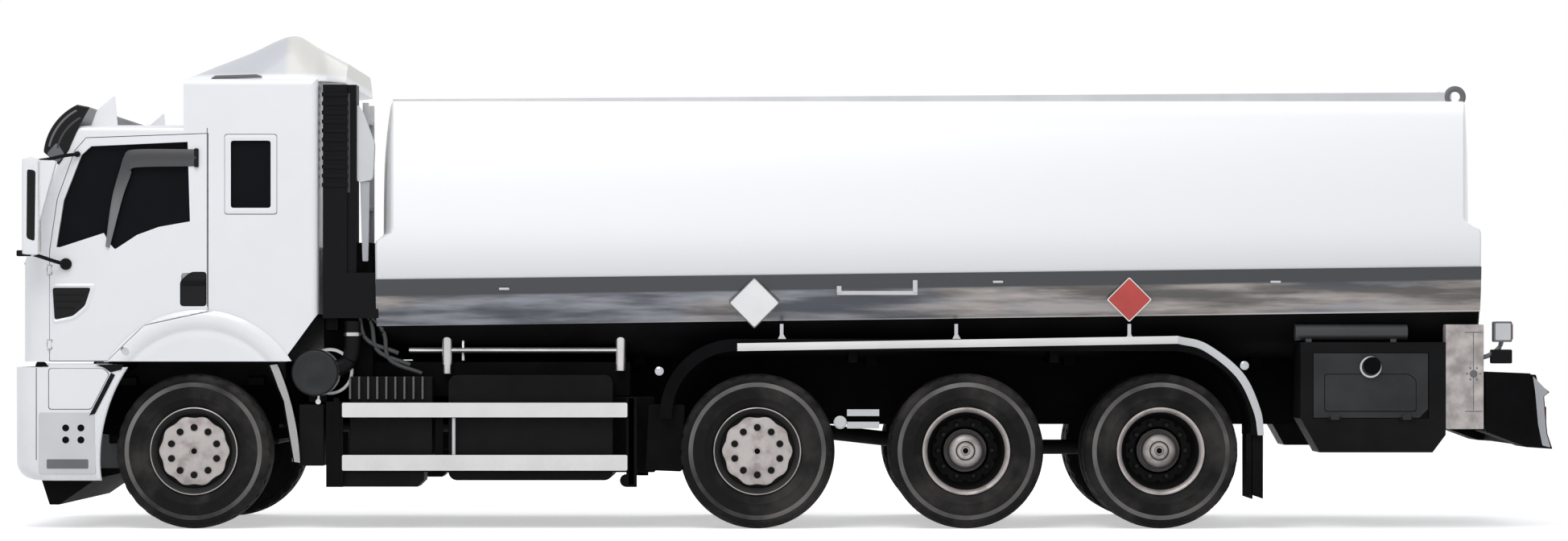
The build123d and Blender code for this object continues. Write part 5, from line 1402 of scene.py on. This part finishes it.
def make_bumper_side(side):
    """Step panel with its holes, seams, corner panel and lip on one side of the bumper."""
    half = Half(side)
    step = rounded([(-5.085, 0.375), (-4.695, 0.375), (-4.7, 0.797), (-5.085, 0.797)], 0.02)
    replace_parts(half.prism("entry_step_@", step, 1.23, 1.2425, LIGHT_GREY, 0.003), "cab_steps")
    corners = [(-0.052, -0.041), (0.052, -0.041), (-0.052, 0.041), (0.052, 0.041)]
    half.joined("step_holes_@", [
        half.pegs(f"step_hole_@_{k}", -4.848 + dx, 1.24, 1.244, 0.649 + dz, 0.024, BLACK, 20)
        for k, (dx, dz) in enumerate(corners)
    ])
    strip = rounded(rect(-5.03, 0.412, -4.745, 0.476), 0.01)
    half.prism("step_tread_@", strip, 1.24, 1.2445, GREY_PLASTIC, 0.002)
    half.slab("bumper_cap_@", (-5.06, 1.05, 1.085), (-4.58, 1.232, 1.128), WHITE, 0.004)
    corner = rounded([
        (-5.019, 0.815), (-4.725, 0.815), (-4.6, 1.06), (-4.64, 1.098), (-5.019, 1.098),
    ], 0.02)
    inside = scaled(corner, 0.975, 0.97)
    half.ring("bumper_seam_@", corner, inside, 1.239, 1.2408, GREY_PLASTIC)
    half.prism("bumper_panel_@", inside, 1.239, 1.244, WHITE, 0.002)
    seam = [(-4.59, 1.066), (-4.562, 1.052), (-4.7, 0.786), (-4.738, 0.776)]
    half.prism("corner_seam_@", seam, 1.243, 1.245, BLACK_PLASTIC)
    wedge = [(-4.69, 1.124), (-4.505, 1.124), (-4.52, 1.088), (-4.592, 1.07), (-4.64, 1.102)]
    half.prism("corner_wedge_@", wedge, 1.23, 1.2448, BLACK_PLASTIC)
    z = np.linspace(0.345, 1.095, 30)
    arch = np.column_stack([arch_edge(z), z])
    half.strip("bumper_lip_@", arch, arch - [0.03, 0.0], 1.236, 1.2405, WHITE, 0.01)
    opening = rounded([(-5.11, 1.109), (-5.015, 1.109), (-5.05, 1.142), (-5.098, 1.142)], 0.01)
    half.prism("corner_gap_@", opening, 1.2, 1.2405, BLACK)
    half.slab("front_seam_@", (-5.104, 1.2335, 0.47), (-5.098, 1.2406, 1.1), GREY_PLASTIC, 0.001)


make_bumper()
for side in SIDES:
    make_bumper_side(side)
print("bumper made")

# %% [markdown]
# On the roof: a dark sun visor with two curved ribs and a patch on each end, grey as
# painted highlights, a thin fin at each corner, and the wind deflector, whose greys
# are painted shade, bluish ahead of the peak as a painted sky reflection, with a dark
# grey strip of painted shadow along its foot. The deflector is a height field, ridge
# height along X times a factor across Y that is 1 in the middle and falls to 0 at
# both sides. The frames of the bunk windows and the doors' rear seams are made here too.

# %% Roof pieces
VISOR_ARC = (-5.052, 2.574), (-4.964, 2.788), (-4.821, 2.899)
RIDGE = smooth_path(
    [(-4.09, 3.095), (-3.93, 3.165), (-3.68, 3.262), (-3.38, 3.385), (-3.2, 3.3), (-3.015, 3.205)], 10
)
ROOF_Z = 3.07


def make_visor():
    """Visor carried across the cab with ribs and a patch on its ends, grey as painted highlights, roof fins,
    window frames and door seams.
    """
    back = arc_through((-4.733, 2.882), (-4.8, 2.76), (-4.876, 2.591), 8)
    outline = np.vstack([arc_through(*VISOR_ARC, 14), back, [(-4.947, 2.486)]])
    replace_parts(prism("sun_visor_shell", outline, -1.252, 1.252, SMOKED, "cab", 0.012), "sun_visor")
    highlight_patch = rounded([(-5.03, 2.56), (-4.95, 2.5), (-4.905, 2.56), (-4.96, 2.64)], 0.02)
    fin = rounded([(-4.745, 2.745), (-4.7, 2.862), (-4.577, 2.968), (-4.556, 2.745)], 0.012)
    outer = rounded(rect(-3.812, 2.693, -3.459, 2.153), 0.02)
    inner = rounded(rect(-3.772, 2.653, -3.499, 2.193), 0.02)
    middle = [-3.6355, 2.423]
    for side in SIDES:
        cab = Half(side, "cab")
        # painted highlights: grey ribs and a grey patch on the visor's ends
        for number, (inset, material) in enumerate(((0.028, GREY_PLASTIC), (0.085, PIPE_GREY))):
            line = arc_through(*VISOR_ARC, 18, inset)[2:-1]
            cab.strip(f"visor_rib_@_{number}", line, line + [0.012, -0.008], 1.2515, 1.2535, material, 0.002)
        cab.prism("visor_heel_@", highlight_patch, 1.2515, 1.2535, GREY_PLASTIC, 0.001)
        cab.prism("roof_fin_@", fin, 1.15, 1.166, WHITE, 0.003)
        cab.ring("bunk_window_frame_@", outer, inner, 1.2395, 1.243, WHITE, 0.006)
        cab.ring("bunk_window_seal_@", (outer - middle) * 1.02 + middle, outer, 1.2395, 1.2408, GREY_PLASTIC)
        cab.prism("door_seam_@", rect(-3.936, 1.52, -3.93, 2.74), 1.2395, 1.2407, GREY_PLASTIC)


def fairing_painted_shade_colour(tree):
    """Painted shade: bluish grey ahead of the peak as a painted sky reflection, warm grey behind it, white
    along the foot.
    """
    _, parts = object_point(tree)
    slope = mix_colour(tree, ramp(tree, parts[0], -3.43, -3.37), (0.51, 0.522, 0.548), (0.62, 0.608, 0.575))
    return mix_colour(tree, ramp(tree, parts[2], 3.085, 3.125), (0.83, 0.835, 0.85), slope)


# the deflector's greys are painted shade, the bluish one a painted sky reflection
FAIRING_PAINTED_SHADE = finish(
    "fairing_painted_shade", (0.7, 0.7, 0.7), 0.35, dirt=0.0, bump=0.0005, coat=0.2, colour_socket=fairing_painted_shade_colour
)


def make_deflector():
    """Height z = 3.07 + (ridge(x) - 3.07) g(y); the rear part narrows towards the middle."""
    x, ridge = RIDGE.T[:, None, :]
    v = np.linspace(-1, 1, 49)[:, None]
    narrow = 1 - 0.22 * np.clip((x + 3.2) / 0.19, 0, 1) ** 1.5
    g = 1 - np.clip((np.abs(v) - 0.8) / 0.2, 0, 1) ** 1.4
    z = ROOF_Z + (np.minimum(ridge, 3.386) - ROOF_Z) * g
    top = np.stack([x + 0 * v, 1.212 * v * narrow, z], axis=-1)
    under = top.copy()
    under[..., 2] = ROOF_Z - 0.008
    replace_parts(shell_between("wind_deflector", top, under, FAIRING_PAINTED_SHADE, "cab", 28), "roof_fairing")
    # painted shadow: a dark grey strip along the deflector's foot on the roof
    slot = rounded([(-3.913, 3.08), (-3.561, 3.094), (-3.6, 3.108), (-3.88, 3.1)], 0.006)
    for side in SIDES:
        Half(side, "cab").prism("deflector_slot_@", slot, 1.17, 1.2125, GREY_PLASTIC)


make_visor()
make_deflector()
print("roof pieces made")

# %% [markdown]
# Low down each side: bright covers on the two guard rails, a bright rail along the
# mudguard with its feet, small lamps, and the pipes and boxes in the gap behind
# the cab, which are all dark, among black panels that stand in for the shade there.

# %% Side rails and the gap behind the cab
def make_side_rails(side):
    """Guard covers and posts, mudguard rail with its feet, flaps, lamps and valve of one side."""
    half = Half(side)
    for k, (z0, z1) in enumerate(((0.762, 0.862), (0.398, 0.505))):
        cover = rounded(rect(-3.012, z0, -1.062, z1), 0.012)
        half.prism(f"guard_cover_@_{k}", cover, 1.2395, 1.245, BRIGHT, 0.0025)
    for k, x in ((0, -3.05), (2, -1.035)):
        half.prism(f"guard_post_@_{k}", rect(x - 0.02, 0.3, x + 0.02, 0.895), 1.236, 1.24, BLACK, 0.003)
    ball = [(0.0, 0.0), (0.04, 0.0), (0.044, 0.012), (0.03, 0.028), (0.0, 0.032)]
    half.lathe("post_foot_@", ball, (-1.07, 1.21, 0.33), BLACK, 32)
    x = np.linspace(-0.311, 2.7, 40)
    climb = 0.05 * (x + 0.311) / 3.0
    upper, lower = np.column_stack([x, 1.268 + climb]), np.column_stack([x, 1.215 + climb])
    half.strip("mudguard_rail_@", upper, lower, 1.238, 1.244, BRIGHT, 0.005)
    outer = smooth_path([(2.7, 1.318), (2.9, 1.262), (3.143, 1.067), (3.262, 0.82), (3.288, 0.64)], 8)
    inner = smooth_path([(2.7, 1.265), (2.88, 1.215), (3.1, 1.035), (3.215, 0.805), (3.245, 0.64)], 8)
    half.strip("mudguard_curve_@", outer, inner, 1.238, 1.243, LIGHT_GREY, 0.004)
    foot = np.array([
        (-0.045, 1.262), (0.045, 1.275), (0.012, 1.33), (0.012, 1.4), (-0.012, 1.4), (-0.012, 1.325),
    ])
    half.joined("rail_feet_@", [
        half.prism(f"rail_foot_@_{k}", foot + [x, 0], 1.225, 1.238, LIGHT_GREY, 0.002)
        for k, x in enumerate((-0.008, 1.185, 2.368))
    ])
    flap = [(3.17, 0.244), (3.285, 0.204), (3.285, 0.65), (3.17, 0.65)]
    half.prism("flap_return_@", flap, 1.198, 1.21, RUBBER_SHEET, 0.004)
    lens = [(0.0, 0.0), (0.03, 0.0), (0.03, 0.008), (0.018, 0.016), (0.0, 0.018)]
    for k, (x, z) in enumerate(((-0.844, 1.078), (3.154, 1.116))):
        half.lathe(f"side_lamp_@_{k}", lens, (x, 1.239, z), CLEAR_LENS, 28)
    flap = rounded([(-0.94, 0.4), (-0.69, 0.39), (-0.67, 0.85), (-0.92, 0.85)], 0.02)
    half.prism("side_flap_@", flap, 1.13, 1.19, BLACK, 0.006)
    valve = half.pegs("valve_end_@", 0.393, 1.14, 1.185, 0.726, 0.045, LIGHT_GREY, 28)
    half.joined("valve_@", [valve] + [
        half.slab(f"valve_bar_@_{k}", (0.44, 1.13, z), (0.66, 1.17, z + 0.045), LIGHT_GREY, 0.006)
        for k, z in enumerate((0.77, 0.685))
    ])


def make_gap(side):
    """Black panels as painted shade, hoses and battery ribs in the gap behind the cab and under the barrel.
    """
    half = Half(side)
    # painted shade: black panels fill the gap where shade falls
    half.slab("gap_panel_@", (-3.0, 0.45, 0.96), (-2.815, 1.06, 1.96), BLACK, 0.01)
    half.slab("gap_panel_low_@", (-2.84, 0.45, 0.9), (-1.05, 1.0, 1.14), BLACK, 0.01)
    half.slab("gap_panel_front_@", (-3.165, 0.45, 1.02), (-2.99, 0.98, 1.44), BLACK, 0.01)
    hoses = []
    for k, (x, z) in enumerate(((-2.86, 1.3), (-2.78, 1.22), (-2.7, 1.16))):
        path = [
            (-3.06, 1.08, z + 0.5), (x - 0.06, 1.11, z + 0.22), (x, 1.12, z),
            (x + 0.22, 1.1, z - 0.1),
        ]
        hoses.append(half.tube(f"gap_hose_@_{k}", smooth_path(path), 0.016, PIPE_GREY, 12))
    half.joined("gap_hoses_@", hoses)
    half.joined("battery_ribs_@", [
        half.slab(f"box_rib_@_{k}", (x, 1.15, 0.885), (x + 0.013, 1.215, 1.04), HOSE_GREY, 0.004)
        for k, x in enumerate(np.arange(-2.967, -2.45, 0.062))
    ])


for side in SIDES:
    make_side_rails(side)
    make_gap(side)
print("side rails made")

# %% [markdown]
# A painted highlight lies where each tyre's shoulder turns into the sidewall. It is a
# thin pale ring of its own that follows the rubber, its colour broken up by noise.

# %% Shoulder highlights and hub rings
def make_shoulder_highlight(axle, side):
    """Painted highlight ring 1 mm proud of the tyre's outer sidewall, and a pair of rings round a twin
    wheel's hub.
    """
    wheel, centre = Half(side, f"wheel_{axle}_@"), (AXLES[axle], WHEEL_Y, AXLE_Z)
    ring = [
        (0.44, 0.1443), (0.456, 0.1424), (0.47, 0.1388), (0.469, 0.1365), (0.456, 0.14), (0.44, 0.1425),
    ]
    wheel.lathe(f"tyre_shoulder_{axle}_@", ring, centre, SHOULDER_HIGHLIGHT, 120, True)
    for k, (r, h) in enumerate(((0.118, -0.012), (0.06, 0.004)) if axle in TWINS else ()):
        rib = rect(r, h - 0.006, r + 0.007, h + 0.003)
        wheel.lathe(f"hub_ring_{axle}_@_{k}", rib, centre, IRON, 48, True)


for axle in AXLES:
    for side in SIDES:
        make_shoulder_highlight(axle, side)
print("shoulders made")

# %% [markdown]
# The tail: a beam with lamp clusters and a blank plate, two end boxes whose outline
# is bent to a point, and the fittings of the cabinets and lockers.

# %% Tail
TAIL_END = [
    (4.802, 1.075), (5.107, 1.063), (5.154, 1.005), (5.241, 0.934), (5.203, 0.906), (5.225, 0.652),
    (5.26, 0.546),
    (5.084, 0.558), (4.802, 0.664),
]
TAIL_PLATE = [
    (5.125, 1.045), (5.232, 0.934), (5.196, 0.906), (5.217, 0.652), (5.246, 0.556), (5.19, 0.57),
    (5.16, 0.72),
    (5.142, 0.93),
]
TAIL_LAMPS = (RED_LENS, 1.1, 1.2), (AMBER, 0.99, 1.09), (CLEAR_LENS, 0.88, 0.98)


def make_tail():
    """Beam, end boxes, lamps and plate in place of the plain rear bumper."""
    beam = [(5.12, 0.56), (5.262, 0.545), (5.262, 0.9), (5.225, 1.05), (5.12, 1.056)]
    made = [
        prism("tail_beam", beam, -0.802, 0.802, BLACK, "chassis", 0.008),
        slab(
            "rear_number_plate", (5.2605, -0.26, 0.62), (5.2645, 0.26, 0.73), WHITE_PLATE, "chassis", 0.001
        ),
    ]
    for side in SIDES:
        half = Half(side)
        made += [
            half.slab("beam_bracket_@", (4.9, 0.345, 0.7), (5.13, 0.43, 0.97), BLACK, 0.005),
            half.prism("tail_end_@", TAIL_END, 0.8, 1.2395, BLACK, 0.006),
            half.prism("tail_plate_@", rounded(TAIL_PLATE, 0.01), 1.2385, 1.242, GREY_STEP, 0.001),
        ]
        for k, (material, y0, y1) in enumerate(TAIL_LAMPS):
            low, high = (5.195, y0, 0.735), (5.2255, y1, 0.835)
            made.append(half.slab(f"tail_lamp_@_{k}", low, high, material, 0.006))
    stand_for(made, "rear_bumper")


def make_fittings(side):
    """Knob, crescent of painted highlight and pressed panel of the cabinet door, locker fittings, under
    panel and post tube.
    """
    half, door = Half(side), Half(side, "cabinet_door_@")
    knob = [(0.0, 0.0), (0.056, 0.0), (0.06, 0.004), (0.052, 0.01), (0.03, 0.006), (0.0, 0.006)]
    door.lathe("cabinet_knob_@", knob, (4.026, 1.249, 1.116), BLACK, 40)
    # painted highlight: a pale crescent on the black knob
    highlight_crescent = [(0.06, 0.0), (0.074, 0.0), (0.072, 0.0025), (0.062, 0.0025)]
    door.lathe("knob_crescent_@", highlight_crescent, (4.016, 1.248, 1.106), LIGHT_GREY, 48, True)
    panel = rounded([(3.7, 0.8), (4.33, 0.8), (4.33, 1.02), (4.28, 1.06), (3.7, 1.06)], 0.02)
    door.ring("cabinet_press_@", panel, scaled(panel, 0.985, 0.96), 1.2345, 1.2362, DARK_BOX, 0.0008)
    half.joined("locker_fittings_@", [
        *(half.slab(f"locker_seam_@_{k}", (4.66, 1.2398, z), (4.78, 1.2412, z + 0.006), GREY_PLASTIC, 0.001)
          for k, z in enumerate((0.8, 1.34))),
        half.slab("locker_line_@", (4.716, 1.2398, 0.81), (4.721, 1.241, 1.34), GREY_PLASTIC, 0.001),
        half.pegs("locker_lock_@", 4.72, 1.2395, 1.244, 1.06, 0.026, GREY_PLASTIC, 24),
        half.pegs("locker_bolts_@", 4.72, 1.2395, 1.243, 1.06, 0.006, GREY_PLASTIC, 12, 6, 0.045),
    ])
    half.slab("under_panel_@", (-1.24, 0.88, 0.38), (-0.88, 1.02, 0.9), BLACK, 0.01)
    half.tube("post_tube_@", [(-2.25, 1.222, 0.5), (-2.25, 1.222, 0.765)], 0.012, LIGHT_GREY, 12)


make_tail()
for side in SIDES:
    make_fittings(side)
print("tail made")

# %% [markdown]
# The light is plain: a pale sky all round, a large soft lamp high on the camera's
# side and a weaker one behind. The camera stands far off with a long lens, level
# with the truck's middle, square to the driver's side.

# %% Floor, light and camera
FLOOR_LIFT = 0.5
SKY_STRENGTH = 0.63


def seen_directly(tree):
    """One for rays from the camera, through glass or off a mirror, and nought for the rest."""
    path = tree.nodes.new("ShaderNodeLightPath")
    either = math_node(tree, "MAXIMUM", path.outputs["Is Camera Ray"], path.outputs["Is Transmission Ray"])
    return math_node(tree, "MAXIMUM", either, path.outputs["Is Glossy Ray"])


def make_floor():
    """Pale floor that looks white to the camera and to mirrors, but keeps the shadow."""
    mat, tree, shader, point = new_material("pale_floor")
    tone = mix_colour(tree, noise(tree, point, 0.8), (0.8, 0.8, 0.8), (0.84, 0.84, 0.84))
    tree.links.new(tone, shader.inputs["Base Color"])
    set_inputs(shader, Roughness=0.9, Emission_Color=(1, 1, 1, 1))
    glow = times(tree, seen_directly(tree), FLOOR_LIFT)
    tree.links.new(glow, shader.inputs["Emission Strength"])
    mesh = bpy.data.meshes.new("floor")
    mesh.from_pydata([(-60, -60, 0), (60, -60, 0), (60, 60, 0), (-60, 60, 0)], [], [(0, 1, 2, 3)])
    floor = bpy.data.objects.new("floor", mesh)
    mesh.materials.append(mat)
    bpy.context.scene.collection.objects.link(floor)


def make_world():
    """White to the camera, mirrors and glass; a plain pale sky for the light itself."""
    world = bpy.data.worlds.new("studio")
    world.use_nodes = True
    tree = world.node_tree
    tree.nodes.clear()
    out = tree.nodes.new("ShaderNodeOutputWorld")
    light, seen = (tree.nodes.new("ShaderNodeBackground") for _ in range(2))
    set_inputs(light, Color=(0.93, 0.95, 1.0, 1), Strength=SKY_STRENGTH)
    set_inputs(seen, Color=(1, 1, 1, 1), Strength=1.0)
    mix = tree.nodes.new("ShaderNodeMixShader")
    for slot, socket in enumerate((seen_directly(tree), light.outputs[0], seen.outputs[0])):
        tree.links.new(socket, mix.inputs[slot])
    tree.links.new(mix.outputs[0], out.inputs[0])
    bpy.context.scene.world = world


def area_lamp(name, place, target, size, power):
    """Soft square lamp facing a point."""
    data = bpy.data.lights.new(name, "AREA")
    data.size = size
    data.energy = power
    lamp = bpy.data.objects.new(name, data)
    lamp.location = place
    lamp.rotation_euler = (Vector(target) - Vector(place)).to_track_quat("-Z", "Y").to_euler()
    bpy.context.scene.collection.objects.link(lamp)


make_floor()
make_world()
area_lamp("key", (-4, -9, 14), (0, 0, 1.2), 9, 1150)
area_lamp("fill", (7, 10, 10), (0, 0, 1.5), 8, 500)

PIXEL = 0.0055
WIDE, GROUND_ROW, MIDDLE_ROW = 1948, 657, 336
NEAR_SIDE = -1.24
DISTANCE = 29.0
CAMERA_Z = 1.3
SENSOR = 36.0
lens_data = bpy.data.cameras.new("camera")
camera = bpy.data.objects.new("camera", lens_data)
bpy.context.scene.collection.objects.link(camera)
camera.location = (0.008, NEAR_SIDE - DISTANCE, CAMERA_Z)
camera.rotation_euler = (math.radians(90), 0, 0)
width = WIDE * PIXEL
lens_data.sensor_width = SENSOR
lens_data.lens = SENSOR * DISTANCE / width
lens_data.shift_y = ((GROUND_ROW - MIDDLE_ROW) * PIXEL - CAMERA_Z) / width
lens_data.clip_end = 200
bpy.context.scene.camera = camera
bpy.context.scene.view_settings.view_transform = "Standard"
